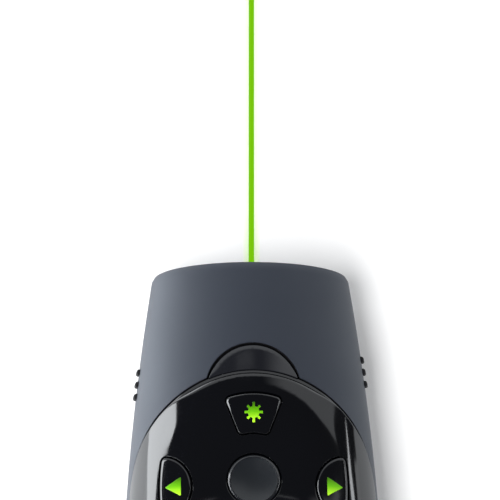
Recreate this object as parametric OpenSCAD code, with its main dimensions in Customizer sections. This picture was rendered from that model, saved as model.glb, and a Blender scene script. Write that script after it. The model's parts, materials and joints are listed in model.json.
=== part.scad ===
// Wireless presentation clicker, lying on its back.
// +X is to the right, +Y points out of the nose where the beam leaves, +Z is up.
// The origin is the middle of the footprint, on the face that it rests on.

/* [Casing] */
// Length from tail to nose
body_l = 115; // [108:1:126]
// Greatest width
body_w = 47.4; // [45:0.2:52]
// Width across the nose
nose_w = 36.8; // [34:0.2:40]
// Width across the tail
tail_w = 36; // [33:0.2:40]
// Height of the parting line between the upper and the lower shell
split_z = 11; // [10.5:0.25:14]
// Height of the crown above the parting line, at its highest
crown_h = 15; // [14.5:0.25:18]
// Height of the crown at the nose
crown_nose_h = 11.2; // [10.6:0.2:14]
// Height of the crown at the tail
crown_tail_h = 12; // [11.5:0.2:15]
// How far ahead of the middle the crown is highest
crown_y = 8; // [0:1:14]
// Wall of the hood and the cover
wall = 1.8; // [1.5:0.1:2.2]
// Wall of the lower shell
floor_t = 2; // [1.8:0.1:2.4]
// Rounding round the nose face
nose_r = 0.5; // [0.4:0.1:1.4]
// Rounding round the tail face
tail_r = 3; // [2:0.25:4]
// Width of the rolled corner under each side
corner_w = 9; // [7:0.5:10]
// How far the underside lifts towards the nose
nose_rise = 2.5; // [1.5:0.25:3.5]
// Gap between the hood and the cover at their seam
seam_gap = 0.12; // [0.05:0.01:0.25]
// How far the cover stands proud of the hood
cover_proud = 0.3; // [0.1:0.05:0.5]
// How much smaller than half the casing's width the seam's radius is
seam_short = 0.3; // [-2:0.1:0.4]
// How far the seam's centre lies behind the key pad's centre
seam_back = 3.1; // [2:0.1:4]

/* [Key pad] */
// Distance from the nose to the middle of the key pad
pad_back = 42; // [40:0.5:46]
// How far the dish round the keys stops short of the casing's side
dish_margin = 6.3; // [5.6:0.1:7]
// Depth of the dish
dish_depth = 3; // [2:0.25:3.5]
// Gap round each key
key_gap = 0.25; // [0.15:0.05:0.35]
// How far a key stands proud of the cover
key_proud = 0.25; // [0.1:0.05:0.5]
// How far a key travels when pressed
key_travel = 0.5; // [0.3:0.05:0.6]
// Width of the hidden flange that keeps a key in
flange_w = 0.7; // [0.5:0.1:1]
// Thickness of a key's flange
flange_t = 0.8; // [0.6:0.1:1]
// Play between a key's flange and the cover above it
flange_play = 0.2; // [0.1:0.05:0.3]
// Radius of the outer edge of the front and rear keys
sector_r = 15.8; // [15:0.1:16.2]
// Radius of the inner edge of the front and rear keys
sector_in_r = 8.6; // [8:0.1:9.4]
// Half angle of the front and rear keys
sector_angle = 21.8; // [18:0.2:24]
// How far from the pad's middle the sides of those keys would meet
sector_apex = 1.75; // [1:0.05:2.5]
// Rounding of the keys' corners
key_corner_r = 0.9; // [0.5:0.1:1.2]
// Radius of the left and right keys
side_key_r = 6; // [5.4:0.1:6.2]
// How far the left and right keys' arc centre lies outside their outer edge
side_key_bulge = 0.3; // [0:0.1:0.6]
// How far the left and right keys lie behind the pad's middle
side_key_back = 1.2; // [0:0.1:1.5]
// How far the left and right keys stop short of the casing's side
side_key_inset = 6.7; // [6.4:0.1:7.6]
// Diameter of the round middle key
center_key_d = 9.5; // [8.6:0.1:9.8]
// Size across the mark on the front key
sun_d = 3.6; // [3:0.1:4.2]
// Height of the arrow marks
arrow_h = 3.5; // [3:0.1:4]
// Side of the square mark on the rear key
stop_w = 2.6; // [2:0.1:3.2]
// Depth of the marks
mark_t = 0.4; // [0.3:0.05:0.6]

/* [Status window] */
// Radius of the window's round edge
window_r = 8.34; // [8:0.02:9]
// How far the window reaches ahead of the pad's middle
window_reach = 25.3; // [24.8:0.1:26]
// Gap round the window
window_gap = 0.15; // [0.1:0.05:0.25]

/* [Side grips] */
// Width of one rib along the side
rib_l = 1.25; // [1:0.05:1.5]
// Distance from rib to rib
rib_pitch = 2.35; // [2:0.05:2.5]
// Height of one rib
rib_h = 1.5; // [1:0.1:3]
// How far the ribs stand out
rib_proud = 0.55; // [0.3:0.05:0.7]
// Distance of the left ribs' middle from the nose
grip_left_back = 21; // [20:0.25:23]
// Distance of the right ribs' middle from the nose
grip_right_back = 18.5; // [18:0.25:22]

/* [Laser] */
// Diameter of the laser module
barrel_d = 9; // [8:0.1:9.4]
// Length of the laser module
barrel_l = 20; // [17:0.5:22]
// Diameter of the opening in the nose
nose_hole_d = 8.4; // [7.6:0.1:8.6]
// Opening of the ring in the nose
ring_bore = 4.4; // [4:0.1:5]

/* [Cells] */
// Diameter of an AAA cell
cell_d = 10.5; // [10.2:0.1:10.5]
// Length of an AAA cell with its nub
cell_l = 44.5; // [44:0.1:44.5]
// Distance between the two cells' axes
cell_pitch = 10.8; // [10.7:0.1:11]
// Room for a squeezed contact spring
spring_l = 2.6; // [2.2:0.1:3]

/* [Battery door] */
// Width of the battery door
door_w = 22.4; // [22:0.1:23]
// Thickness of the battery door
door_t = 1.6; // [1.4:0.1:1.7]
// Play round the battery door
door_play = 0.15; // [0.1:0.05:0.2]

/* [Receiver] */
// Width of the plug-in receiver
receiver_w = 14.6; // [14:0.1:15]
// Thickness of the plug-in receiver
receiver_t = 5.2; // [5.1:0.1:5.4]
// Length of the part held when plugging it in
receiver_grip_l = 9; // [8:0.5:11]
// Play round the receiver in its dock
dock_play = 0.15; // [0.1:0.05:0.2]
// Wall of the dock
dock_wall = 0.6; // [0.5:0.1:0.7]

/* [Circuit board] */
// Thickness of the board
board_t = 1.6; // [1.2:0.2:1.6]
// Room under the board, above the cells
board_lift = 2.05; // [2:0.1:2.6]
// Side of a tactile switch
switch_w = 4.5; // [4:0.1:5]
// Height of a tactile switch's body
switch_h = 1; // [0.8:0.1:1.2]

/* [Power switch] */
// Travel of the power slider
slider_travel = 3; // [2:0.25:3.5]
// Distance from the nose to the middle of the slider's slot
slider_back = 33.5; // [32:0.5:36]

/* [Screws] */
// Diameter of the casing screws
screw_d = 2; // [1.8:0.1:2.2]
// Length of the casing screws under the head
screw_l = 9; // [8:0.5:10]
// Diameter of a casing screw's head
screw_head_d = 3.6; // [3.4:0.1:3.8]

/* [Hidden] */

$fn = 48;
eps = 0.01;
arc_steps = 30;
coarse_step = 6;
fine_step = 2;
side_taper = 1.65;

nose_y = body_l / 2;
tail_y = -body_l / 2;
pad_y = nose_y - pad_back;
seam_y = pad_y - seam_back;
seam_r = body_w / 2 - seam_short;
dish_r = body_w / 2 - dish_margin;
side_key_out = body_w / 2 - side_key_inset;
side_key_x = side_key_out + side_key_bulge;
window_y = pad_y + window_reach - window_r;

// ---- the casing's form -------------------------------------------------

// Half the width at station y, ahead of or behind the middle
function taper(y, end_w) = (body_w - end_w) / 2 * pow(abs(y) / nose_y, side_taper);
function half_w(y) = body_w / 2 - taper(y, y > 0 ? nose_w : tail_w);

// Height of the crown above the parting line at station y
function crown(y) = y > crown_y
    ? crown_h - (crown_h - crown_nose_h) * pow((y - crown_y) / (nose_y - crown_y), 2)
    : crown_h - (crown_h - crown_tail_h) * pow((crown_y - y) / (crown_y - tail_y), 2);

// Lift of the underside at station y
rise_start = nose_y - 27;
function belly(y) = y > rise_start ? nose_rise * pow((y - rise_start) / (nose_y - rise_start), 2) : 0;

// How much a rounding of radius r draws a section in, at a distance d from the end face
function round_in(d, r) = d >= r ? 0 : r - sqrt(r * r - pow(r - d, 2));
function draw_in(y) = round_in(y - tail_y, tail_r) + round_in(nose_y - y, nose_r);

// Depth of the round dish at a point
function dish(x, y) = let (r = norm([x, y - pad_y]))
    r < dish_r ? dish_depth * pow(1 - pow(r / dish_r, 2), 2) : 0;

// Height of the upper surface, moved out by g
function top_z(x, y, g = 0) = let (w = half_w(y) + g, t = min(1, abs(x) / w))
    split_z + (crown(y) + g) * sqrt(1 - t * t) - dish(x, y);

// Stations along y, with the ones that shape the rounded ends
function spread(a, b, step) = let (n = max(1, ceil((b - a) / step))) [for (i = [0 : n]) a + (b - a) * i / n];
tail_rings = [for (a = [0, 30, 60]) tail_y + tail_r * (1 - cos(a))];
nose_rings = [for (a = [60, 30, 0]) nose_y - nose_r * (1 - cos(a))];

// Ring across the upper half at station y; foot is how far it reaches below the parting line
function upper_ring(y, g, foot) = let (w = half_w(y) + g - draw_in(y), h = crown(y) + g - draw_in(y))
    concat(
        foot > 0 ? [[-w, y, split_z - foot]] : [],
        [for (i = [0 : arc_steps]) let (a = 180 - 180 * i / arc_steps, x = w * cos(a))
            [x, y, split_z + h * sin(a) - dish(x, y)]],
        foot > 0 ? [[w, y, split_z - foot]] : []);

// Ring across the lower half at station y, closed at height top
corner_steps = 8;
function lower_ring(y, g, top) =
    let (w = half_w(y) + g - draw_in(y), h = split_z - belly(y) + g - draw_in(y), c = corner_w + g)
    concat(
        top > split_z ? [[-w, y, top]] : [],
        [for (i = [0 : corner_steps]) let (a = 90 * i / corner_steps)
            [-(w - c) - c * cos(a), y, split_z - h * sin(a)]],
        [for (i = [0 : corner_steps]) let (a = 90 - 90 * i / corner_steps)
            [(w - c) + c * cos(a), y, split_z - h * sin(a)]],
        top > split_z ? [[w, y, top]] : []);

// Closed solid through a list of rings that all have as many points; flip turns its faces round
module loft(rings, flip = false) {
    n = len(rings[0]);
    last = len(rings) - 1;
    sides = [for (k = [0 : last - 1], i = [0 : n - 1])
        let (a = k * n + i, b = k * n + (i + 1) % n)
        each [[a, a + n, b + n], [a, b + n, b]]];
    ends = [[for (i = [0 : n - 1]) i], [for (i = [n - 1 : -1 : 0]) last * n + i]];
    faces = concat(sides, ends);
    polyhedron([for (r = rings) each r], flip ? [for (f = faces) [for (i = [len(f) - 1 : -1 : 0]) f[i]]] : faces);
}

// Part of the upper half between two stations, moved out by g
module upper_form(stations, g = 0, foot = 0) {
    loft([for (y = stations) upper_ring(y, g, foot)]);
}

module lower_form(stations, g = 0, top = 0) {
    loft([for (y = stations) lower_ring(y, g, top)], flip = true);
}

// Curved slab that follows the upper surface, between two distances out from it
module surface_slab(x0, x1, y0, y1, g_top, g_low, step) {
    nx = ceil((x1 - x0) / step);
    ny = ceil((y1 - y0) / step);
    row = nx + 1;
    count = row * (ny + 1);
    pts = [for (g = [g_top, g_low], j = [0 : ny], i = [0 : nx])
        let (x = x0 + (x1 - x0) * i / nx, y = y0 + (y1 - y0) * j / ny) [x, y, top_z(x, y, g)]];
    top = [for (j = [0 : ny - 1], i = [0 : nx - 1]) let (a = j * row + i)
        each [[a, a + row, a + row + 1], [a, a + row + 1, a + 1]]];
    low = [for (f = top) [f[2] + count, f[1] + count, f[0] + count]];
    rim = concat(
        [for (i = [0 : nx - 1]) i],
        [for (j = [0 : ny - 1]) nx + j * row],
        [for (i = [0 : nx - 1]) ny * row + nx - i],
        [for (j = [0 : ny - 1]) (ny - j) * row]);
    walls = [for (k = [0 : len(rim) - 1]) let (a = rim[k], b = rim[(k + 1) % len(rim)])
        each [[a, b, b + count], [a, b + count, a + count]]];
    polyhedron(pts, concat(top, low, walls));
}

// Everything behind the seam, as a tall block
module behind_seam(grow = 0) {
    translate([0, seam_y, 0]) cylinder(r = seam_r + grow, h = 2 * crown_h + split_z, $fn = 96);
    translate([-body_w, tail_y - body_l, 0]) cube([2 * body_w, body_l + seam_y - tail_y, 2 * crown_h + split_z]);
}

// ---- outlines of the keys, seen from above, about the pad's middle -----

module soft_corners() {
    offset(r = key_corner_r, $fn = 24) offset(delta = -key_corner_r) children();
}

module sector_outline() {
    reach = 2 * sector_r;
    half = reach * tan(sector_angle);
    soft_corners() intersection() {
        difference() {
            circle(r = sector_r, $fn = 72);
            circle(r = sector_in_r, $fn = 48);
        }
        translate([0, sector_apex]) polygon([[0, 0], [half, reach], [-half, reach]]);
    }
}

side_key_belly = 40;
module side_outline() {
    soft_corners() intersection() {
        translate([side_key_x, -side_key_back]) circle(r = side_key_r, $fn = 60);
        translate([side_key_out - side_key_belly, -side_key_back]) circle(r = side_key_belly, $fn = 240);
    }
}

// Outline of one key, grown by g
module key_outline(kind, g = 0) {
    offset(delta = g) {
        if (kind == "laser") sector_outline();
        if (kind == "blank") rotate(180) sector_outline();
        if (kind == "forward") side_outline();
        if (kind == "back") mirror([1, 0]) side_outline();
    }
}

// Prism over a key's outline, from height z0 to z1
tall = split_z + crown_h + 2;
module key_prism(kind, g = 0, z0 = split_z, z1 = tall) {
    translate([0, pad_y, z0]) linear_extrude(z1 - z0) key_outline(kind, g);
}

// Where each key's switch sits, about the pad's middle
sector_switch = (sector_r + sector_in_r) / 2;
side_switch = (side_key_out + side_key_x - side_key_r) / 2;
KEYS = ["laser", "back", "forward", "blank"];
function key_at(kind) = kind == "laser" ? [0, sector_switch] : kind == "blank" ? [0, -sector_switch]
    : kind == "forward" ? [side_switch, -side_key_back] : kind == "back" ? [-side_switch, -side_key_back]
    : [0, 0];

// ---- heights inside ----------------------------------------------------

cell_z = door_t + 0.45 + cell_d / 2;
board_z = cell_z + cell_d / 2 + board_lift;
board_top = board_z + board_t;
switch_top = board_top + switch_h;
plunger_d = 2.2;
plunger_up = 0.8;
plunger_low = board_top + key_travel + 0.1;
plunger_top = switch_top + plunger_up;
laser_z = board_z - 0.3 - barrel_d / 2;
receiver_z = cell_z + cell_d / 2 + 0.05 + dock_wall + dock_play + receiver_t / 2;

// ---- casing ------------------------------------------------------------

hood_y0 = seam_y + 2;
strip_l = 3 * rib_pitch + 1;
strip_t = 1.2;
rib_play = 0.05;
rib_z = split_z + 0.6;
front_screw_x = body_w / 2 - 11.2;
rear_screw_x = body_w / 2 - 8.3;
front_screw_back = 17.5;
rear_screw_back = 12.5;
screw_spots = [[front_screw_x, nose_y - front_screw_back], [-front_screw_x, nose_y - front_screw_back],
    [rear_screw_x, pad_y - rear_screw_back], [-rear_screw_x, pad_y - rear_screw_back]];
boss_d = 4.8;
pilot_d = screw_d - 0.3;
screw_seat = 3.2;
boss_top = screw_seat + screw_l + 1;

module front_hood() {
    color("slategray") difference() {
        union() {
            difference() {
                upper_form(concat(spread(hood_y0, nose_y - nose_r, coarse_step), nose_rings));
                upper_form(spread(hood_y0 - eps, nose_y - wall, coarse_step), -wall, 1);
            }
            for (s = [screw_spots[0], screw_spots[1]]) hood_boss(s);
            barrel_clamp(1);
        }
        translate([0, 0, -eps]) behind_seam(seam_gap);
        translate([0, window_y, split_z]) cylinder(r = window_r + window_gap, h = tall, $fn = 72);
        nose_opening();
        grip_wells(0);
        for (s = [screw_spots[0], screw_spots[1]])
            translate([s[0], s[1], split_z - 1]) cylinder(d = pilot_d, h = boss_top - split_z + 1);
    }
}

// Screw post that hangs from the inside of the upper shell
module hood_boss(s) {
    intersection() {
        translate([s[0], s[1], split_z]) cylinder(d = boss_d, h = crown_h);
        upper_form(spread(s[1] - boss_d, s[1] + boss_d, coarse_step), -wall / 2);
    }
}

// Rib with a half-round seat that holds the laser module; side is 1 above and -1 below
clamp_t = 1.6;
clamp_wall = 1.4;
clamp_play = 0.05;
clamp_spots = [nose_y - wall - 6.2, nose_y - wall - 13.2];
module barrel_clamp(side) {
    for (y = clamp_spots) difference() {
        translate([-barrel_d / 2 - clamp_wall, y - clamp_t / 2, side > 0 ? split_z : floor_t / 2 + belly(y)])
            cube([barrel_d + 2 * clamp_wall, clamp_t, side > 0 ? crown(y) - wall + 0.6 : split_z - floor_t / 2 - belly(y)]);
        translate([0, y, laser_z]) rotate([90, 0, 0])
            cylinder(d = barrel_d + 2 * clamp_play, h = 2 * clamp_t, center = true);
        if (side > 0) translate([-barrel_d / 2 - clamp_play, y - clamp_t, split_z - 1])
            cube([barrel_d + 2 * clamp_play, 2 * clamp_t, laser_z - split_z + 1 + eps]);
    }
}

module nose_opening() {
    translate([0, nose_y + 1, laser_z]) rotate([90, 0, 0]) cylinder(d = nose_hole_d, h = wall + 2);
}

// Slots for the three ribs on each side; g grows them
module grip_wells(g) {
    for (side = [-1, 1]) for (i = [-1 : 1])
        translate([side * body_w / 2, grip_y(side) + i * rib_pitch, rib_z + rib_h / 2])
            cube([body_w / 2, rib_l + 2 * g, rib_h + 2 * g], center = true);
}
function grip_y(side) = nose_y - (side < 0 ? grip_left_back : grip_right_back);

module top_cover() {
    seam_front = seam_y + seam_r;
    color("black") difference() {
        union() {
            difference() {
                intersection() {
                    upper_form(concat(tail_rings, spread(tail_y + tail_r, pad_y - dish_r, coarse_step),
                        spread(pad_y - dish_r + fine_step, seam_front + 1, fine_step)), cover_proud);
                    behind_seam();
                }
                upper_form(concat(spread(tail_y + wall, pad_y - dish_r, coarse_step),
                    spread(pad_y - dish_r + fine_step, seam_front + 2, fine_step)), -wall, 1);
            }
            for (s = [screw_spots[2], screw_spots[3]]) hood_boss(s);
            for (s = board_spots) board_post(s);
        }
        for (k = KEYS) key_prism(k, key_gap);
        translate([0, pad_y, split_z]) cylinder(d = center_key_d + 2 * key_gap, h = tall);
        dock_space();
        for (s = [screw_spots[2], screw_spots[3]])
            translate([s[0], s[1], split_z - 1]) cylinder(d = pilot_d, h = boss_top - split_z + 1);
        for (s = board_spots)
            translate([s[0], s[1], board_top - 1]) cylinder(d = board_screw_d - 0.3, h = board_screw_l + 1);
    }
}

// Opening in the tail for the receiver
module dock_space() {
    w = receiver_w + 2 * dock_play;
    t = receiver_t + 2 * dock_play;
    translate([-w / 2, tail_y - 1, receiver_z - t / 2]) cube([w, wall + 2, t]);
}

board_screw_d = 1.8;
board_screw_l = 3.5;
board_r = dish_r - 1.1;
board_spot = board_r - 6.3;
board_spots = [for (sx = [-1, 1], sy = [-1, 1]) [sx * board_spot, pad_y + sy * board_spot]];
module board_post(s) {
    intersection() {
        translate([s[0], s[1], board_top]) cylinder(d = 3.6, h = crown_h);
        surface_slab(s[0] - 3, s[0] + 3, s[1] - 3, s[1] + 3, -wall / 2, -crown_h + 2, fine_step);
    }
}

bay_wall = 1.1;
bay_back = tail_y + wall + bay_wall + 3;
bay_front = bay_back + cell_l + spring_l + 0.8;
door_front = bay_front;
door_lip = 0.8;
door_lip_t = 0.8;
door_lip_z = 0.75;
slot_y = nose_y - slider_back;
slider_w = 4;
slider_l = 5;

module bottom_shell() {
    color("slategray") difference() {
        union() {
            difference() {
                lower_form(concat(tail_rings, spread(tail_y + tail_r, nose_y - nose_r, coarse_step), nose_rings));
                lower_form(spread(tail_y + wall, nose_y - wall, coarse_step), -floor_t, split_z + 1);
            }
            for (s = screw_spots) shell_boss(s);
            barrel_clamp(-1);
            bay_walls();
        }
        door_space();
        nose_opening();
        slider_space();
        for (s = screw_spots) {
            translate([s[0], s[1], -1]) cylinder(d = screw_d + 0.3, h = split_z + 2);
            translate([s[0], s[1], -1]) cylinder(d = screw_head_d + 0.4, h = screw_seat + 1);
        }
    }
}

module shell_boss(s) {
    intersection() {
        translate([s[0], s[1], 0]) cylinder(d = boss_d + 1, h = split_z);
        lower_form(spread(s[1] - boss_d, s[1] + boss_d, coarse_step), -floor_t / 2, split_z + 1);
    }
}

// Side and end walls of the cell bay, standing on the floor
bay_w = door_w + 2 * door_play;
module bay_walls() {
    for (side = [-1, 1])
        translate([side > 0 ? bay_w / 2 : -bay_w / 2 - bay_wall, bay_back - bay_wall, floor_t - 0.4])
            cube([bay_wall, bay_front - bay_back + 2 * bay_wall, split_z - floor_t - 1]);
    for (y = [bay_back - bay_wall, bay_front])
        translate([-bay_w / 2, y, floor_t - 0.4]) cube([bay_w, bay_wall, split_z - floor_t - 1]);
}

// Opening for the battery door, with the grooves that its lips run in
module door_space() {
    w = bay_w;
    lip_w = w + 2 * door_lip;
    translate([-w / 2, tail_y - 1, -1]) cube([w, door_front - tail_y + 1, door_t + door_play + 1]);
    translate([-w / 2, tail_y + wall, 0]) cube([w, door_front - tail_y - wall, floor_t + eps]);
    translate([-lip_w / 2, tail_y - 1, door_lip_z - door_play / 2])
        cube([lip_w, door_front - tail_y + 1, door_lip_t + door_play]);
}

// Finger recess and slot for the power slider
module slider_space() {
    recess_l = slider_l + slider_travel + 5;
    translate([0, slot_y, -1]) linear_extrude(2) hull() for (s = [-1, 1])
        translate([0, s * (recess_l / 2 - 4)]) circle(d = 8);
    translate([-slider_w / 2 - 0.2, slot_y - (slider_l + slider_travel) / 2 - 0.2, -1])
        cube([slider_w + 0.4, slider_l + slider_travel + 0.4, floor_t + 2]);
}

module battery_door() {
    color("slategray") difference() {
        union() {
            intersection() {
                lower_form(concat(tail_rings, spread(tail_y + tail_r, door_front, coarse_step)));
                translate([-door_w / 2, tail_y, 0]) cube([door_w, door_front - tail_y - door_play, door_t]);
            }
            for (side = [-1, 1]) translate([side * door_w / 2 - door_lip + 0.15, tail_y + tail_r + 1, door_lip_z])
                cube([2 * door_lip - 0.3, door_front - tail_y - tail_r - 2, door_lip_t]);
        }
        for (i = [0 : 5]) translate([0, door_front - 9 - 1.8 * i, 0])
            rotate([0, 90, 0]) cylinder(d = 0.9, h = door_w * 0.55, center = true, $fn = 24);
    }
}

// ---- window and light --------------------------------------------------

module window_plan(g) {
    translate([0, window_y, split_z]) cylinder(r = window_r + g, h = tall, $fn = 72);
}

module status_window() {
    color("dimgray", 0.6) difference() {
        intersection() {
            surface_slab(-window_r - 1, window_r + 1, window_y - 2, window_y + window_r + 1, 0, -wall, fine_step);
            window_plan(0);
        }
        translate([0, 0, -eps]) behind_seam(seam_gap);
    }
}

led_y = window_y + window_r - 4.2;
led_w = 1.6;
guide_d = 3;
module light_guide() {
    low = board_top + 1;
    color("white", 0.7) translate([0, led_y, low]) intersection() {
        cylinder(d = guide_d, h = crown_h);
        translate([0, -led_y, -low]) surface_slab(-2, 2, led_y - 2, led_y + 2, -wall, -crown_h, fine_step);
    }
}

module status_led() {
    color("palegreen") translate([-led_w / 2, led_y - led_w / 2, board_top]) cube([led_w, led_w, 0.9]);
}

// ---- keys --------------------------------------------------------------

slab_step = 1.8;
function key_span(kind) = kind == "forward" || kind == "back" ? [6, 16] : [16, 10];

// Slab of the surface round one key, between two distances out
module key_slab(kind, g_top, g_low) {
    at = key_at(kind);
    span = key_span(kind);
    x0 = kind == "back" ? -side_key_out - 1.2 : kind == "forward" ? side_key_x - side_key_r - 1.2 : -span[0] / 2;
    x1 = kind == "forward" ? side_key_out + 1.2 : kind == "back" ? -side_key_x + side_key_r + 1.2 : span[0] / 2;
    surface_slab(x0, x1, pad_y + at[1] - span[1] / 2, pad_y + at[1] + span[1] / 2, g_top, g_low, slab_step);
}

// A key cap that follows the dish, with its flange under the cover and its stem
module key_cap(kind) {
    at = key_at(kind);
    stem_top = top_z(at[0], pad_y + at[1], -wall) - flange_play - flange_t / 2;
    difference() {
        union() {
            difference() {
                intersection() {
                    key_slab(kind, cover_proud + key_proud, -wall - flange_play - flange_t);
                    key_prism(kind, flange_w);
                }
                difference() {
                    key_slab(kind, crown_h / 2, -wall - flange_play);
                    key_prism(kind);
                }
            }
            translate([at[0], pad_y + at[1], plunger_top]) cylinder(d = plunger_d + 0.8, h = stem_top - plunger_top);
        }
        mark_prism(kind);
    }
}

// Where a key's mark lies: the inlay fills the same space
function mark_floor(kind) = let (at = mark_at(kind), reach = mark_reach(kind))
    min(top_z(abs(at[0]) + reach, pad_y + at[1], cover_proud + key_proud),
        top_z(at[0], pad_y + at[1] - reach * sign(at[1] + eps), cover_proud + key_proud)) - mark_t;
function mark_reach(kind) = kind == "laser" ? sun_d * 0.56 : kind == "blank" ? stop_w / 2 : arrow_h / 2;
function mark_at(kind) = kind == "laser" ? [0, sector_switch] : kind == "blank" ? [0, -sector_switch]
    : kind == "forward" ? [side_switch + arrow_out, -side_key_back] : [-side_switch - arrow_out, -side_key_back];
arrow_out = 0.4;

module mark_outline(kind) {
    if (kind == "laser") sunburst();
    if (kind == "blank") square(stop_w, center = true);
    if (kind == "forward") arrow();
    if (kind == "back") mirror([1, 0]) arrow();
}

// Eight rays round a small disc
module sunburst() {
    circle(d = sun_d * 0.56, $fn = 24);
    for (i = [0 : 7]) let (reach = i % 4 == 0 ? sun_d * 0.56 : sun_d / 2) rotate(45 * i)
        polygon([[-sun_d * 0.06, 0], [sun_d * 0.06, 0], [sun_d * 0.07, reach], [-sun_d * 0.07, reach]]);
}

module arrow() {
    polygon([[-arrow_h * 0.38, -arrow_h / 2], [arrow_h * 0.42, 0], [-arrow_h * 0.38, arrow_h / 2]]);
}

module mark_prism(kind) {
    at = mark_at(kind);
    translate([at[0], pad_y + at[1], mark_floor(kind)]) linear_extrude(crown_h) mark_outline(kind);
}

module mark_inlay(kind) {
    intersection() {
        key_slab(kind, cover_proud + key_proud, -wall);
        mark_prism(kind);
    }
}

module laser_key() { color("black") key_cap("laser"); }
module back_key() { color("black") key_cap("back"); }
module forward_key() { color("black") key_cap("forward"); }
module blank_key() { color("black") key_cap("blank"); }
module laser_mark() { color("yellowgreen") mark_inlay("laser"); }
module back_mark() { color("yellowgreen") mark_inlay("back"); }
module forward_mark() { color("yellowgreen") mark_inlay("forward"); }
module blank_mark() { color("yellowgreen") mark_inlay("blank"); }

// The round key is turned: a shallow cup with a thin lip, a flange and a stem
module center_key() {
    r = center_key_d / 2;
    rim_z = top_z(r, pad_y, cover_proud) + key_proud;
    flange_top = top_z(0, pad_y, -wall) - flange_play - 0.15;
    cup = 0.5;
    ball_r = (r * r + cup * cup) / (2 * cup);
    color("darkslategray") translate([0, pad_y, 0]) difference() {
        rotate_extrude() polygon([[0, plunger_top], [plunger_d / 2 + 0.4, plunger_top],
            [plunger_d / 2 + 0.4, flange_top - flange_t], [r + flange_w, flange_top - flange_t],
            [r + flange_w, flange_top], [r, flange_top], [r, rim_z - 0.3], [r - 0.3, rim_z], [0, rim_z]]);
        translate([0, 0, rim_z - cup + ball_r]) intersection() {
            sphere(r = ball_r, $fn = 96);
            cylinder(r = r - 0.4, h = 2 * ball_r, center = true);
        }
    }
}

// Switch plungers, one under each key
module plunger(kind) {
    at = key_at(kind);
    color("ivory") translate([at[0], pad_y + at[1], plunger_low])
        cylinder(d = plunger_d, h = plunger_top - plunger_low, $fn = 32);
}
module laser_plunger() { plunger("laser"); }
module back_plunger() { plunger("back"); }
module forward_plunger() { plunger("forward"); }
module blank_plunger() { plunger("blank"); }
module center_plunger() { plunger("center"); }

module tact_switches() {
    color("silver") for (k = concat(KEYS, ["center"])) {
        at = key_at(k);
        translate([at[0], pad_y + at[1], board_top]) difference() {
            translate([-switch_w / 2, -switch_w / 2, 0]) cube([switch_w, switch_w, switch_h]);
            translate([0, 0, -1]) cylinder(d = plunger_d + 0.3, h = switch_h + 2, $fn = 32);
        }
    }
}

// ---- side grips --------------------------------------------------------

// A rubber strip inside the wall, with three ribs that come out through it
module side_grip(side) {
    y = grip_y(side);
    near = spread(y - strip_l, y + strip_l, coarse_step);
    color("black") difference() {
        union() {
            intersection() {
                grip_wells(-rib_play);
                upper_form(near, rib_proud);
                side_block(side, y, rib_h + 2);
            }
            intersection() {
                upper_form(near, -wall - rib_play);
                side_block(side, y, rib_h + 1);
            }
        }
        upper_form(spread(y - 2 * strip_l, y + 2 * strip_l, coarse_step), -wall - strip_t, 1);
    }
}

// The stretch of one flank that a grip covers, up to a height above the parting line
module side_block(side, y, high) {
    translate([side > 0 ? 0 : -body_w, y - strip_l / 2, split_z + 0.1]) cube([body_w, strip_l, high]);
}

module grip_left() { side_grip(-1); }
module grip_right() { side_grip(1); }

// ---- electronics -------------------------------------------------------

tongue_w = 19;
tongue_l = 18;
board_front_edge = 3;
board_front = led_y + board_front_edge;
board_rear = pad_y - board_r - tongue_l;
module circuit_board() {
    color("darkgreen") translate([0, 0, board_z]) difference() {
        union() {
            translate([0, pad_y, 0]) cylinder(r = board_r, h = board_t, $fn = 96);
            translate([-tongue_w / 2, board_rear, 0]) cube([tongue_w, board_front - board_rear, board_t]);
        }
        for (s = board_spots) translate([s[0], s[1], -1]) cylinder(d = board_screw_d + 0.3, h = board_t + 2);
    }
}

barrel_front = nose_y - wall - 1.2;
module laser_barrel() {
    color("goldenrod") translate([0, barrel_front, laser_z]) rotate([90, 0, 0]) difference() {
        rotate_extrude() polygon([[2.6, 0], [barrel_d / 2 - 0.4, 0], [barrel_d / 2, 0.4],
            [barrel_d / 2, barrel_l - 0.3], [barrel_d / 2 - 0.3, barrel_l], [2.9, barrel_l],
            [2.9, barrel_l - 4], [1.6, barrel_l - 4], [1.6, 3], [2.6, 3]]);
        translate([0, 0, 6]) rotate([0, 90, 0]) cylinder(d = 1.2, h = barrel_d, $fn = 24);
    }
}

module collimator_lens() {
    color("lightcyan", 0.6) translate([0, barrel_front - 0.6, laser_z]) rotate([90, 0, 0])
        rotate_extrude() intersection() {
            translate([0, 0]) square([2.6, 2.4]);
            translate([0, 5.6]) circle(r = 5.6, $fn = 90);
        }
}

module laser_diode() {
    color("silver") translate([0, barrel_front - barrel_l + 4, laser_z]) rotate([90, 0, 0]) union() {
        translate([0, 0, -2.4]) cylinder(d = 3, h = 2.4, $fn = 32);
        cylinder(d = 5.6, h = 1.2, $fn = 32);
    }
}

driver_t = 1;
wire_block_w = 3.2;
wire_block_t = 2;
module laser_board() {
    color("darkgreen") translate([0, barrel_front - barrel_l, laser_z]) rotate([90, 0, 0]) union() {
        cylinder(d = barrel_d - 0.6, h = driver_t);
        translate([-wire_block_w / 2, -wire_block_t / 2, -wire_block_t])
            cube([wire_block_w, wire_block_t, wire_block_t]);
    }
}

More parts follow.
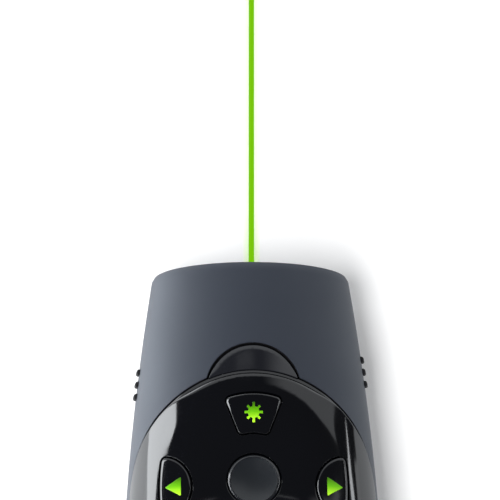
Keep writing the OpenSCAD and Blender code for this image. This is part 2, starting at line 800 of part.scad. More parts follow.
ring_flange_d = nose_hole_d + 2.4;
module aperture_ring() {
    color("gray") translate([0, nose_y - 0.3, laser_z]) rotate([90, 0, 0]) rotate_extrude()
        polygon([[ring_bore / 2 + 1, 0], [nose_hole_d / 2 - 0.1, 0], [nose_hole_d / 2 - 0.1, wall - 0.3],
            [ring_flange_d / 2, wall - 0.3], [ring_flange_d / 2, wall + 0.4], [ring_bore / 2 + 0.8, wall + 0.4],
            [ring_bore / 2 + 0.8, 1.4], [ring_bore / 2, 1.4], [ring_bore / 2, 1]]);
}

module aperture_lens() {
    color("lightcyan", 0.6) translate([0, nose_y - 1.7, laser_z]) rotate([90, 0, 0])
        cylinder(d = ring_bore + 1.6, h = wall - 1, $fn = 48);
}

chip_w = 7;
chip_t = 0.9;
module controller_chip() {
    color("black") translate([-chip_w / 2, pad_y - board_r - chip_w - 2, board_top]) cube([chip_w, chip_w, chip_t]);
}

radio_w = 10;
radio_l = 7;
radio_t = 1.8;
module radio_module() {
    color("silver") translate([-radio_w / 2, board_rear + 1, board_top]) cube([radio_w, radio_l, radio_t]);
}

crystal_w = 2.5;
crystal_l = 3.2;
crystal_t = 0.8;
module crystal_can() {
    color("silver") translate([chip_w / 2 + 1.7, pad_y - board_r - chip_w - 1, board_top])
        cube([crystal_w, crystal_l, crystal_t]);
}

// ---- cells and contacts ------------------------------------------------

nub_d = 3.8;
nub_l = 0.8;
plate_t = 0.3;
cell_can_l = cell_l - nub_l;
// For each cell: its side, and +1 where its nub points to the nose
CELLS = [[-1, 1], [1, -1]];
function cell_start(dir) = dir > 0 ? bay_front - plate_t - nub_l - cell_can_l : bay_back + plate_t + nub_l;

module battery_cells() {
    color("goldenrod") for (c = CELLS) translate([c[0] * cell_pitch / 2, cell_start(c[1]), cell_z])
        rotate([-90, 0, 0]) cylinder(d = cell_d, h = cell_can_l);
}

module cell_nubs() {
    color("silver") for (c = CELLS) {
        start = c[1] > 0 ? cell_start(1) + cell_can_l : cell_start(-1) - nub_l;
        translate([c[0] * cell_pitch / 2, start, cell_z]) rotate([-90, 0, 0]) cylinder(d = nub_d, h = nub_l, $fn = 32);
    }
}

module contact_plates() {
    plate = cell_d - 1.6;
    color("silver") {
        for (c = CELLS) translate([c[0] * cell_pitch / 2 - plate / 2, bay_back, cell_z - plate / 2])
            cube([plate, plate_t, plate - 1.5]);
        translate([-cell_pitch / 2 - plate / 2, bay_front - plate_t, cell_z - plate / 2])
            cube([cell_pitch + plate, plate_t, plate - 1.5]);
    }
}

// Coiled contact wire: rings of a thin tube along a helix that widens
wire_d = 0.5;
turns = 3;
turn_steps = 14;
wire_sides = 5;
module contact_springs() {
    color("silver") for (c = CELLS) {
        back = c[1] > 0;
        free = back ? cell_start(1) - bay_back - plate_t : bay_front - plate_t - cell_start(-1) - cell_can_l;
        translate([c[0] * cell_pitch / 2, back ? bay_back + plate_t : bay_front - plate_t, cell_z])
            rotate([back ? -90 : 90, 0, 0]) coil(free);
    }
}

module coil(length) {
    rise = length - wire_d;
    steps = turns * turn_steps;
    loft([for (k = [0 : steps]) let (a = 360 * k / turn_steps, r = 3.6 - 1.6 * k / steps)
        [for (i = [0 : wire_sides - 1]) let (b = 360 * i / wire_sides, q = r + wire_d / 2 * cos(b))
            [q * cos(a), q * sin(a), wire_d / 2 + rise * k / steps + wire_d / 2 * sin(b)]]]);
}

// ---- power slider ------------------------------------------------------

slider_plate_t = 1;
slider_plate_w = 10;
slider_post_w = 4;
slider_post_l = 3.2;
lever_w = 1.2;
lever_l = 3.4;
lever_in = 2.2;
power_switch_h = 3.4;
power_switch_w = 4;
power_switch_l = 9;
slider_y = slot_y - slider_travel / 2;
module power_slider() {
    post_top = board_z - power_switch_h - 0.4;
    color("black") difference() {
        union() {
            translate([-slider_w / 2, slider_y - slider_l / 2, 0.3]) cube([slider_w, slider_l, floor_t + 0.2]);
            translate([-slider_plate_w / 2, slider_y - slider_l / 2 - 1.5, floor_t + 0.1])
                cube([slider_plate_w, slider_l + 3, slider_plate_t]);
            translate([-slider_post_w / 2, slider_y - slider_post_l / 2, floor_t + 0.5])
                cube([slider_post_w, slider_post_l, post_top - floor_t - 0.5]);
        }
        translate([-lever_w / 2, slider_y - lever_w / 2, post_top - lever_in]) cube([lever_w, lever_w, lever_l]);
        for (i = [-1 : 1]) translate([0, slider_y + 1.4 * i, 0.3])
            rotate([0, 90, 0]) cylinder(d = 0.7, h = slider_w + 1, center = true, $fn = 16);
    }
}

module switch_lever() {
    post_top = board_z - power_switch_h - 0.4;
    color("ivory") translate([-lever_w / 2, slider_y - lever_w / 2, post_top - lever_in])
        cube([lever_w, lever_w, lever_l]);
}

module power_switch() {
    color("silver") difference() {
        translate([-power_switch_w / 2, slot_y - power_switch_l / 2, board_z - power_switch_h])
            cube([power_switch_w, power_switch_l, power_switch_h]);
        translate([-lever_w / 2 - 0.15, slot_y - slider_travel / 2 - lever_w / 2 - 0.15, board_z - power_switch_h - 1])
            cube([lever_w + 0.3, slider_travel + lever_w + 0.3, lever_l - lever_in + 1.2]);
    }
}

// ---- receiver ----------------------------------------------------------

plug_w = 12;
plug_t = 4.5;
plug_l = 12;
plug_wall = 0.3;
tongue_t = 1.8;
grip_front = tail_y + receiver_grip_l;
module receiver_grip() {
    notch_d = 6;
    color("black") difference() {
        translate([-receiver_w / 2, tail_y, receiver_z - receiver_t / 2]) cube([receiver_w, receiver_grip_l, receiver_t]);
        for (s = [-1, 1]) for (i = [0 : 2]) translate([0, tail_y + 1.4 + 1.3 * i, receiver_z + s * receiver_t / 2])
            rotate([0, 90, 0]) cylinder(d = 0.6, h = notch_d, center = true, $fn = 16);
    }
}

module receiver_plug() {
    color("silver") translate([-plug_w / 2, grip_front, receiver_z - plug_t / 2]) difference() {
        cube([plug_w, plug_l, plug_t]);
        translate([plug_wall, -1, plug_wall]) cube([plug_w - 2 * plug_wall, plug_l + 2, plug_t - 2 * plug_wall]);
        for (x = [2.4, plug_w - 4.6]) translate([x, plug_l - 7, plug_t - 1]) cube([2.2, 2.2, 2]);
    }
}

module receiver_tongue() {
    color("ivory") translate([-plug_w / 2 + plug_wall, grip_front, receiver_z - plug_t / 2 + plug_wall])
        cube([plug_w - 2 * plug_wall, plug_l - 0.6, tongue_t]);
}

module receiver_dock() {
    in_w = receiver_w + 2 * dock_play;
    in_t = receiver_t + 2 * dock_play;
    length = receiver_grip_l + plug_l + 0.8;
    color("dimgray") difference() {
        translate([-in_w / 2 - dock_wall, tail_y + wall, receiver_z - in_t / 2 - dock_wall])
            cube([in_w + 2 * dock_wall, length - wall + dock_wall, in_t + 2 * dock_wall]);
        translate([-in_w / 2, tail_y, receiver_z - in_t / 2]) cube([in_w, length, in_t]);
    }
}

// ---- screws ------------------------------------------------------------

module pan_screw(d, head_d, head_h, length) {
    difference() {
        union() {
            translate([0, 0, -head_h]) cylinder(d = head_d, h = head_h, $fn = 32);
            cylinder(d = d, h = length, $fn = 24);
        }
        for (a = [0, 90]) rotate(a) translate([-head_d * 0.36, -head_d * 0.07, -head_h - 1])
            cube([head_d * 0.72, head_d * 0.14, 1 + head_h / 2]);
    }
}

screw_head_h = 1.4;
module case_screws() {
    color("silver") for (s = screw_spots) translate([s[0], s[1], screw_seat])
        pan_screw(pilot_d, screw_head_d, screw_head_h, screw_l);
}

board_head_d = 3;
board_head_h = 1;

module board_screws() {
    color("silver") for (s = board_spots) translate([s[0], s[1], board_z])
        pan_screw(board_screw_d - 0.3, board_head_d, board_head_h, board_t + board_screw_l - 0.4);
}

front_hood();
top_cover();
bottom_shell();
battery_door();
status_window();
light_guide();
status_led();
laser_key();
back_key();
forward_key();
blank_key();
center_key();
laser_mark();
back_mark();
forward_mark();
blank_mark();
laser_plunger();
back_plunger();
forward_plunger();
blank_plunger();
center_plunger();
tact_switches();
grip_left();
grip_right();
circuit_board();
laser_barrel();
laser_diode();
laser_board();
collimator_lens();
aperture_ring();
aperture_lens();
battery_cells();
cell_nubs();
contact_springs();
contact_plates();
power_slider();
switch_lever();
power_switch();
receiver_grip();
receiver_plug();
receiver_tongue();
receiver_dock();
case_screws();
board_screws();
controller_chip();
radio_module();
crystal_can();
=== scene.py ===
"""Looks of the wireless presenter: every shell and key is laid out flat, cut, rounded at its rims and then
draped over the casing's form; the smaller pieces are turned, or are bevelled copies of the frame's parts."""
import json
import math

import bmesh
import bpy
from mathutils import Matrix, Vector


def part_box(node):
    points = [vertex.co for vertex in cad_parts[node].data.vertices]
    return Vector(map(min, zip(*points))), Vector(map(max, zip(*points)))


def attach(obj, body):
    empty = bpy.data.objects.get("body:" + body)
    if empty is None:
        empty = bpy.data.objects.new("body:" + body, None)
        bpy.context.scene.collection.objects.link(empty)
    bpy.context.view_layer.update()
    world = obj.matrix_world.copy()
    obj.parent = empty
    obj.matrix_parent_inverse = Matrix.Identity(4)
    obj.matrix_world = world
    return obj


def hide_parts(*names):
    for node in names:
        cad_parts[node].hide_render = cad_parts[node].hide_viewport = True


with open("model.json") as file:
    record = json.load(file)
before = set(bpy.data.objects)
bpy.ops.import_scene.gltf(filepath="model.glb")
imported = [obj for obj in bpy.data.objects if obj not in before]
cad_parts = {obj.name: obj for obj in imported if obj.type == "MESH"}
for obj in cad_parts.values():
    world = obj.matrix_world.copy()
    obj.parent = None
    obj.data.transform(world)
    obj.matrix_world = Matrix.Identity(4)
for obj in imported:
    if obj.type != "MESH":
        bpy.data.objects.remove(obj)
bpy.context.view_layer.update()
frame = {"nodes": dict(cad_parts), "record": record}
nodes = frame["nodes"]
MM = 0.001


# ---- sizes, in millimetres ----------------------------------------------------------------------

def box_mm(node):
    low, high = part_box(node)
    return low / MM, high / MM


def middle_of(node):
    low, high = box_mm(node)
    return (low.x + high.x) / 2, (low.y + high.y) / 2


shell_low, shell_high = box_mm("bottom_shell")
ring_low, ring_high = box_mm("aperture_ring")
_, door_high = box_mm("battery_door")
slot_low, slot_high = box_mm("power_switch")
dock_low, dock_high = box_mm("receiver_grip")
cap_low, cap_high = box_mm("center_key")

HALF_W, NOSE_Y, TAIL_Y, SPLIT_Z = shell_high.x, shell_high.y, shell_low.y, shell_high.z
NOSE_HALF_W, TAIL_HALF_W, SIDE_TAPER = 18.4, 18.0, 1.65
CROWN_H, CROWN_NOSE_H, CROWN_TAIL_H, CROWN_Y = 15.0, 11.2, 12.0, 8.0
NOSE_R, TAIL_R = 0.5, 3.0
CORNER_W, NOSE_RISE, RISE_LENGTH = 9.0, 2.5, 27.0
WALL, FLOOR_T = 1.8, 2.0
PAD_Y = NOSE_Y - 42.0
DISH_R, DISH_DEPTH = HALF_W - 6.3, 3.0
SEAM_Y, SEAM_R = PAD_Y - 3.1, HALF_W - 0.3
SEAM_GAP, COVER_PROUD = 0.3, 0.3
SEAM_DRAWN, SEAM_DRAWN_FROM, SEAM_END, SEAM_FOOT_Y = 1.0, 48.0, 86.0, 7.5
KEY_PROUD, KEY_GAP, FLANGE_W, FLANGE_T, FLANGE_PLAY = 0.25, 0.25, 0.7, 0.8, 0.2
WINDOW_R, WINDOW_GAP, WINDOW_LAP, WINDOW_TAPER = 8.34, 0.34, 0.05, 6    # the taper is in points of its outline
WINDOW_Y = PAD_Y + 25.3 - WINDOW_R
LASER_Z = (ring_low.z + ring_high.z) / 2
NOSE_HOLE_R = 4.2
PAD_HALF_W, PAD_HALF_L, PAD_SIDE, PAD_END = 20.5, 25.0, 2.9, 6.0    # the dish's area, and how it eases out
SLIDER_Y = (slot_low.y + slot_high.y) / 2
SLOT_HALF_W, SLOT_HALF_L = 2.2, 4.2
RECESS_R, RECESS_HALF_L, RECESS_EDGE = 4.1, 2.5, 1.0
DOOR_RAIL, DOOR_T, DOOR_GAP, DOOR_END_GAP = 0.65, 1.6, 0.15, 0.3
GROOVE_COUNT, GROOVE_PITCH, GROOVE_BACK = 6, 1.8, 9.0
GROOVE_HALF_W, GROOVE_HALF_L, GROOVE_DEPTH = 0.5, 6.6, 0.38
RIB_HALF, RIB_LOW, RIB_HIGH, RIB_PITCH, RIB_PROUD = 0.625, 0.6, 2.1, 2.35, 0.55
STRIP_LOW, STRIP_HIGH = 0.15, 2.6
SCREW_HOLE_R, STEM_R, STEM_BREAK = 2.0, 1.5, 0.1
SHARP_ANGLE, BREAK_ANGLE = 34, 32    # in degrees: from where edges are shaded sharp, and are bevelled

ARC_R = 18.5                          # turns the angle round a section into a length on the layout
SIDE_U = ARC_R * math.pi / 2          # where the upper layout meets the parting line
FLAT_U = HALF_W - CORNER_W            # half the flat of the underside, on the lower layout
CORNER_U = 15.8                       # the rolled corner, on the lower layout
LOW_U = FLAT_U + CORNER_U


def half_width(y):
    end = NOSE_HALF_W if y > 0 else TAIL_HALF_W
    return HALF_W - (HALF_W - end) * (abs(y) / NOSE_Y) ** SIDE_TAPER


def crown(y):
    if y > CROWN_Y:
        return CROWN_H - (CROWN_H - CROWN_NOSE_H) * ((y - CROWN_Y) / (NOSE_Y - CROWN_Y)) ** 2
    return CROWN_H - (CROWN_H - CROWN_TAIL_H) * ((CROWN_Y - y) / (CROWN_Y - TAIL_Y)) ** 2


def belly(y):
    start = NOSE_Y - RISE_LENGTH
    return NOSE_RISE * ((y - start) / RISE_LENGTH) ** 2 if y > start else 0.0


def dish(x, y):
    t = math.hypot(x, y - PAD_Y) / DISH_R
    return DISH_DEPTH * (1 - t * t) ** 2 if t < 1 else 0.0


def inner_top_z(x, y):
    """Height of the upper shell's inner face."""
    t = min(1.0, abs(x) / (half_width(y) - WALL))
    return SPLIT_Z + (crown(y) - WALL) * math.sqrt(1 - t * t) - dish(x, y)


def smooth_step(t):
    t = min(1.0, max(0.0, t))
    return t * t * (3 - 2 * t)


# ---- from the flat layouts to the casing --------------------------------------------------------

def end_station(v, depth):
    """Where a place on the layout lies along the casing, rounded ends included: its y, how far the section
    draws in there, the share left of the section on an end face, and the station whose section it has."""
    for end, r, way in ((NOSE_Y, NOSE_R, 1), (TAIL_Y, TAIL_R, -1)):
        inner_r = max(r - depth, 0.05)
        limit = end - way * (depth + inner_r)
        s = (v - end) * way + r
        if s <= 0:
            if (v - limit) * way > 0:
                return limit, depth, 1.0, limit
            continue
        turn = min(s / r, math.pi / 2)
        flat = max(0.0, s - r * math.pi / 2)
        return (end - way * (depth + inner_r * (1 - math.sin(turn))), depth + inner_r * (1 - math.cos(turn)),
                1 - flat / (half_width(end) - r), end)
    return v, depth, 1.0, v


def face_v(end, share):
    """The layout's v for a share of the section on one end face."""
    way, r = (1, NOSE_R) if end > 0 else (-1, TAIL_R)
    return end - way * r + way * (r * math.pi / 2 + (1 - share) * (half_width(end) - r))


def drape_upper(u, v, depth):
    y, drawn, share, form_y = end_station(v, depth)
    w, h = half_width(form_y), crown(form_y)
    angle = u / ARC_R
    x = w * math.sin(angle)
    pad = smooth_step((PAD_HALF_L - abs(y - PAD_Y)) / PAD_END) * smooth_step((PAD_HALF_W - abs(x)) / PAD_SIDE)
    if pad > 0 and share == 1.0:
        x_in = x * (1 - (1 - pad) * drawn / w)
        t = min(1.0, abs(x_in) / (w - drawn))
        return x_in, y, SPLIT_Z + (h - drawn) * math.sqrt(1 - t * t) - dish(x_in, y)
    x_in = (w - drawn) * math.sin(angle) * share
    return x_in, y, SPLIT_Z + (h - drawn) * math.cos(angle) * share - dish(x_in, y)


def finger_recess(x, y):
    """Depth of the long finger recess round the power slider."""
    off = math.hypot(x, max(0.0, abs(y - SLIDER_Y) - RECESS_HALF_L))
    return smooth_step((RECESS_R - off) / RECESS_EDGE)


def drape_lower(u, v, depth):
    y, drawn, share, form_y = end_station(v, depth)
    w, h = half_width(form_y), SPLIT_Z - belly(form_y)
    flat = w - CORNER_W
    if abs(u) <= FLAT_U:
        x, fall = u * flat / FLAT_U * share, 1.0
    else:
        turn = (abs(u) - FLAT_U) / CORNER_U * math.pi / 2
        x = math.copysign(flat + (CORNER_W - drawn) * math.sin(turn), u) * share
        fall = math.cos(turn)
    lift = finger_recess(x, y) * max(0.0, 1 - depth / FLOOR_T) if share == 1.0 else 0.0
    return x, y, SPLIT_Z - (h - drawn) * fall * share + lift


def upper_u(x, y):
    return ARC_R * math.asin(max(-1.0, min(1.0, x / half_width(y))))


def lower_u(x, v):
    _, drawn, _, form_y = end_station(v, 0.0)
    flat = half_width(form_y) - CORNER_W
    if abs(x) <= flat:
        return x * FLAT_U / flat
    turn = math.asin(min(1.0, (abs(x) - flat) / (CORNER_W - drawn)))
    return math.copysign(FLAT_U + CORNER_U * turn / (math.pi / 2), x)


# ---- flat outlines ------------------------------------------------------------------------------

def arc(cx, cy, r, start, end, step=0.45):
    n = max(2, math.ceil(abs(math.radians(end - start)) * r / step))
    angles = [math.radians(start + (end - start) * i / n) for i in range(n + 1)]
    return [(cx + r * math.cos(a), cy + r * math.sin(a)) for a in angles]


def rounded(corners, r=0.0, step=0.2):
    """A closed outline with its corners rounded by r, or each by its own radius where it has one."""
    out = []
    for i, corner in enumerate(corners):
        p = Vector(corner[:2])
        radius = corner[2] if len(corner) > 2 else r
        a = (Vector(corners[i - 1][:2]) - p).normalized()
        b = (Vector(corners[(i + 1) % len(corners)][:2]) - p).normalized()
        half = a.angle(b) / 2
        if radius <= 0 or half > math.radians(89):
            out.append(tuple(p))
            continue
        centre = p + (a + b).normalized() * radius / math.sin(half)
        start, end = p + a * radius / math.tan(half) - centre, p + b * radius / math.tan(half) - centre
        sweep = start.angle_signed(end)
        count = max(2, math.ceil(abs(sweep) * radius / step))
        out += [tuple(centre + Matrix.Rotation(-sweep * k / count, 2) @ start) for k in range(count + 1)]
    return out


def dense(points, step, closed=True):
    """The same outline with no stretch longer than step."""
    out = []
    for a, b in zip(points, points[1:] + points[:1] if closed else points[1:]):
        n = max(1, math.ceil(math.dist(a, b) / step))
        out += [(a[0] + (b[0] - a[0]) * i / n, a[1] + (b[1] - a[1]) * i / n) for i in range(n)]
    return out if closed else out + [points[-1]]


def moved(points, dx, dy):
    return [(x + dx, y + dy) for x, y in points]


def runs_left(points):
    """Whether a closed outline has its inside on its left."""
    return sum(a[0] * b[1] - b[0] * a[1] for a, b in zip(points, points[1:] + points[:1])) > 0


def turned_left(points):
    return points if runs_left(points) else points[::-1]


def inward(points):
    """For each point, the way into the material on its left, stretched at corners."""
    out = []
    for i, p in enumerate(points):
        a = Vector(p) - Vector(points[i - 1])
        b = Vector(points[(i + 1) % len(points)]) - Vector(p)
        na, nb = Vector((-a.y, a.x)).normalized(), Vector((-b.y, b.x)).normalized()
        out.append((na + nb) / max(0.35, 1 + na.dot(nb)))
    return out


def grown(points, g):
    points = turned_left(points)
    return [(p[0] - n.x * g, p[1] - n.y * g) for p, n in zip(points, inward(points))]


def on_upper(points):
    return [(upper_u(x, y), y) for x, y in points]


def on_lower(points):
    return [(lower_u(x, v), v) for x, v in points]


def rectangle(x0, x1, y0, y1, r):
    return dense(rounded([(x0, y0), (x1, y0), (x1, y1), (x0, y1)], r, 0.12), 0.6)


# ---- slabs on the layouts -----------------------------------------------------------------------

def rounding(r, wide=None, arcs=None):
    """A rim's profile as (inset, depth below the face): a quarter round, or a broad one as wide as wide."""
    wide, arcs = wide or r, arcs or (4)
    turns = [math.pi / 2 * i / arcs for i in range(arcs + 1)]
    return [(wide * (1 - math.cos(a)), r * (1 - math.sin(a))) for a in turns] + [(wide * 1.4 + 0.06, 0.0)]


def blended(plain, shaped, share):
    return [(a[0] + (b[0] - a[0]) * share, a[1] + (b[1] - a[1]) * share) for a, b in zip(plain, shaped)]


def rim(points, depth, profile, top=0.0, flange=0.0, hole=False):
    """One edge of a slab: its outline, and the profile of its rim, one for all points or one for each."""
    profiles = profile if isinstance(profile[0], list) else [profile] * len(points)
    if runs_left(points) == hole:
        points, profiles = points[::-1], profiles[::-1]
    return {"points": points, "profiles": profiles, "depth": depth, "top": top, "flange": flange}


def rim_steps(edge):
    """For each step from the inner face up to the outer one, every point's (inset, depth)."""
    count, depth, flange = len(edge["points"]), edge["depth"], edge["flange"]
    steps = [[(-flange, depth)] * count]
    if flange:
        steps += [[(-flange, depth - FLANGE_T)] * count, [(0.0, depth - FLANGE_T)] * count]
    for stage in zip(*edge["profiles"]):
        steps.append([(inset, edge["top"] + down) for inset, down in stage])
    return steps


def flat_slab(edges, step, more_u=(), more_v=()):
    """Rims swept up from each outline, lids filled between them, then everything cut into a grid."""
    bm = bmesh.new()
    kept = bm.edges.layers.int.new("kept")
    lids = ([], [])
    for edge in edges:
        points, ways = edge["points"], inward(edge["points"])

        def placed(stage):
            return [(p[0] + n.x * inset, p[1] + n.y * inset, -depth)
                    for p, n, (inset, depth) in zip(points, ways, stage)]
        steps = rim_steps(edge)
        ring = [bm.verts.new(co) for co in placed(steps[0])]
        loop = [bm.edges.new((a, b)) for a, b in zip(ring, ring[1:] + ring[:1])]
        lids[0].extend(loop)
        for stage in steps[1:]:
            place = {tuple(v.co): i for i, v in enumerate(ring)}
            made = bmesh.ops.extrude_edge_only(bm, edges=loop)["geom"]
            ring = [None] * len(points)
            for v in (g for g in made if isinstance(g, bmesh.types.BMVert)):
                ring[place[tuple(v.co)]] = v
            for v, co in zip(ring, placed(stage)):
                v.co = co
            loop = [bm.edges.get((a, b)) for a, b in zip(ring, ring[1:] + ring[:1])]
        lids[1].extend(loop)
    for e in bm.edges:
        e[kept] = 1
    for lid, way in zip(lids, (-1, 1)):
        bmesh.ops.triangle_fill(bm, edges=lid, use_beauty=True, normal=(0, 0, way))
    for axis, more in ((0, more_u), (1, more_v)):
        values = [v.co[axis] for v in bm.verts]
        cuts = [k * step for k in range(math.ceil(min(values) / step), math.floor(max(values) / step) + 1)]
        for cut in sorted(cuts + list(more)):
            co, no = [0.0, 0.0, 0.0], [0.0, 0.0, 0.0]
            co[axis], no[axis] = cut, 1.0
            bmesh.ops.bisect_plane(bm, geom=bm.verts[:] + bm.edges[:] + bm.faces[:], dist=0.004,
                                   plane_co=co, plane_no=no)
    loose = [e for e in bm.edges if not e[kept] and is_diagonal(e)]
    bmesh.ops.dissolve_edges(bm, edges=loose, use_verts=True)
    return bm


def paint_gap_shade(bm):
    """Gives everything but the outer face of a slab the piece's second, dark material: painted shade that
    darkens the seams and gaps round the slab.
    """
    bm.normal_update()
    for face in bm.faces:
        painted = abs(face.normal.z) > 0.6 and face.calc_center_median().z > -0.3
        face.material_index = 0 if painted else 1
    return bm


def is_diagonal(edge):
    a, b = edge.verts[0].co, edge.verts[1].co
    flat = all(abs(f.normal.z) > 0.999 for f in edge.link_faces)
    return flat and abs(a.x - b.x) > 1e-3 and abs(a.y - b.y) > 1e-3


def draped(bm, drape):
    """Lays a slab over the casing and turns it from millimetres to metres."""
    for v in bm.verts:
        v.co = Vector(drape(v.co.x, v.co.y, -v.co.z)) * MM
    bmesh.ops.remove_doubles(bm, verts=bm.verts, dist=3e-6)
    crowded = [f for f in bm.faces if len(f.verts) > 4]
    bmesh.ops.triangulate(bm, faces=crowded, quad_method="BEAUTY", ngon_method="BEAUTY")
    bmesh.ops.recalc_face_normals(bm, faces=bm.faces)
    return bm


# ---- other ways to make a piece -----------------------------------------------------------------

def turned_form(profile, centre, steps):
    """A closed turned form from (radius, height) points that start and end on its axis, which stands at the
    centre."""
    bm = bmesh.new()
    line = [bm.verts.new((Vector(centre) + Vector((r, 0, h))) * MM) for r, h in profile]
    edges = [bm.edges.new(pair) for pair in zip(line, line[1:])]
    bmesh.ops.spin(bm, geom=line + edges, cent=Vector(centre) * MM, axis=(0, 0, 1), angle=math.tau,
                   steps=steps, use_merge=True)
    bmesh.ops.remove_doubles(bm, verts=bm.verts, dist=1e-7)
    bmesh.ops.recalc_face_normals(bm, faces=bm.faces)
    return bm


def bevelled(node, width):
    """A merged copy of a frame part, in metres, with its sharp edges broken."""
    bm = bmesh.new()
    bm.from_mesh(nodes[node].data)
    bmesh.ops.remove_doubles(bm, verts=bm.verts, dist=1e-6)
    bmesh.ops.dissolve_limit(bm, angle_limit=math.radians(1.5), verts=bm.verts, edges=bm.edges)
    limit = math.radians(BREAK_ANGLE)
    sharp = [e for e in bm.edges if len(e.link_faces) == 2 and e.calc_face_angle(0) > limit]
    bmesh.ops.bevel(bm, geom=sharp, offset=width * MM, offset_type="OFFSET", segments=2,
                    profile=0.5, affect="EDGES", material=-1, clamp_overlap=True)
    bmesh.ops.recalc_face_normals(bm, faces=bm.faces)
    return bm


def lofted(rings):
    """A closed form through rings of as many points each, in metres."""
    bm = bmesh.new()
    loops = []
    for ring in rings:
        row = [bm.verts.new(Vector(p) * MM) for p in ring]
        loops.append([bm.edges.new(pair) for pair in zip(row, row[1:] + row[:1])])
    for low, high in zip(loops, loops[1:]):
        bmesh.ops.bridge_loops(bm, edges=low + high)
    for loop in (loops[0], loops[-1]):
        bmesh.ops.contextual_create(bm, geom=loop)
    bmesh.ops.recalc_face_normals(bm, faces=bm.faces)
    return bm


def object_from(name, bm):
    mesh = bpy.data.meshes.new(name)
    bm.to_mesh(mesh)
    bm.free()
    obj = bpy.data.objects.new(name, mesh)
    bpy.context.scene.collection.objects.link(obj)
    return obj


def inner_rings(upper):
    """Rings of the space inside the upper or the lower shell, a hair clear of its wall."""
    thick = (WALL if upper else FLOOR_T) + 0.12
    rings = []
    stations = [TAIL_Y + thick + (NOSE_Y - TAIL_Y - 2 * thick) * i / 48 for i in range(49)]
    for y in stations:
        w, h = half_width(y) - thick, (crown(y) if upper else SPLIT_Z - belly(y)) - thick
        ring = []
        for i in range(33):
            a = math.pi * i / 32
            if upper:
                x = w * math.cos(a)
                ring.append((x, y, SPLIT_Z + h * math.sin(a) - dish(x, y)))
            else:
                c = CORNER_W - thick
                x = math.copysign(w - c, math.cos(a)) + c * math.cos(a) if i != 16 else 0.0
                ring.append((x, y, SPLIT_Z - h * math.sin(a)))
        rim_z = SPLIT_Z - 3 if upper else SPLIT_Z + 3
        rings.append([(w, y, rim_z)] + ring + [(-w, y, rim_z)])
    return rings


def add_inner_parts(bm, node, upper):
    """Adds the posts, ribs and bay walls that the frame's own shell has inside, and nothing of its wall."""
    source = bmesh.new()
    source.from_mesh(nodes[node].data)
    bmesh.ops.remove_doubles(source, verts=source.verts, dist=1e-6)
    solid, space = object_from("inner_solid", source), object_from("inner_space", lofted(inner_rings(upper)))
    cut = solid.modifiers.new("inside", "BOOLEAN")
    cut.operation, cut.object, cut.solver = "INTERSECT", space, "EXACT"
    graph = bpy.context.evaluated_depsgraph_get()
    bm.from_mesh(solid.evaluated_get(graph).data)
    for obj in (solid, space):
        mesh = obj.data
        bpy.data.objects.remove(obj)
        bpy.data.meshes.remove(mesh)


def join(bm, other):
    mesh = bpy.data.meshes.new("joining")
    other.to_mesh(mesh)
    other.free()
    bm.from_mesh(mesh)
    bpy.data.meshes.remove(mesh)


def piece(name, bm, body, stands_for, slot, mat=None):
    """A finished piece that rides on a body in the place of one of the frame's parts."""
    obj = object_from(name, bm)
    obj.data.shade_smooth()
    obj.data.set_sharp_from_angle(angle=math.radians(SHARP_ANGLE))
    obj.data.materials.append(mat or MAT[slot])
    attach(obj, body)
    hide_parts(stands_for)
    return obj


# ---- materials ----------------------------------------------------------------------------------

def srgb(*values):
    """A colour from its red, green and blue out of 255."""
    shares = [value / 255 for value in values]
    return tuple(s / 12.92 if s <= 0.04045 else ((s + 0.055) / 1.055) ** 2.4 for s in shares) + (1.0,)


def maths(tree, operation, *terms):
    """The output of a new Math node, whose terms are numbers or the outputs of other nodes."""
    node = tree.nodes.new("ShaderNodeMath")
    node.operation = operation
    for socket, term in zip(node.inputs, terms):
        if isinstance(term, float):
            socket.default_value = term
        else:
            tree.links.new(term, socket)
    return node.outputs[0]


def places(tree):
    """The X, Y and Z of each place on the piece, in metres."""
    coords, split = tree.nodes.new("ShaderNodeTexCoord"), tree.nodes.new("ShaderNodeSeparateXYZ")
    tree.links.new(coords.outputs["Object"], split.inputs[0])
    return split.outputs


def grain_group():
    """Fine moulded grain: a height for the bump, and a roughness that drifts a little."""
    group = bpy.data.node_groups.new("moulded_grain", "ShaderNodeTree")
    for label, value in (("Grain Size", 2500.0), ("Roughness", 0.5), ("Drift", 0.1)):
        socket = group.interface.new_socket(name=label, in_out="INPUT", socket_type="NodeSocketFloat")
        socket.default_value = value
    for label in ("Height", "Roughness"):
        group.interface.new_socket(name=label, in_out="OUTPUT", socket_type="NodeSocketFloat")
    inp, out = group.nodes.new("NodeGroupInput"), group.nodes.new("NodeGroupOutput")
    coords = group.nodes.new("ShaderNodeTexCoord")
    fine, wide = group.nodes.new("ShaderNodeTexNoise"), group.nodes.new("ShaderNodeTexNoise")
    for noise in (fine, wide):
        group.links.new(coords.outputs["Object"], noise.inputs["Vector"])
    group.links.new(inp.outputs["Grain Size"], fine.inputs["Scale"])
    wide.inputs["Scale"].default_value = 90.0
    swing = maths(group, "SUBTRACT", wide.outputs["Fac"], 0.5)
    drifting = maths(group, "MULTIPLY_ADD", swing, inp.outputs["Drift"], inp.outputs["Roughness"])
    group.links.new(fine.outputs["Fac"], out.inputs["Height"])
    group.links.new(drifting, out.inputs["Roughness"])
    return group


GRAIN = grain_group()
BUMP_DEPTH = 0.00001


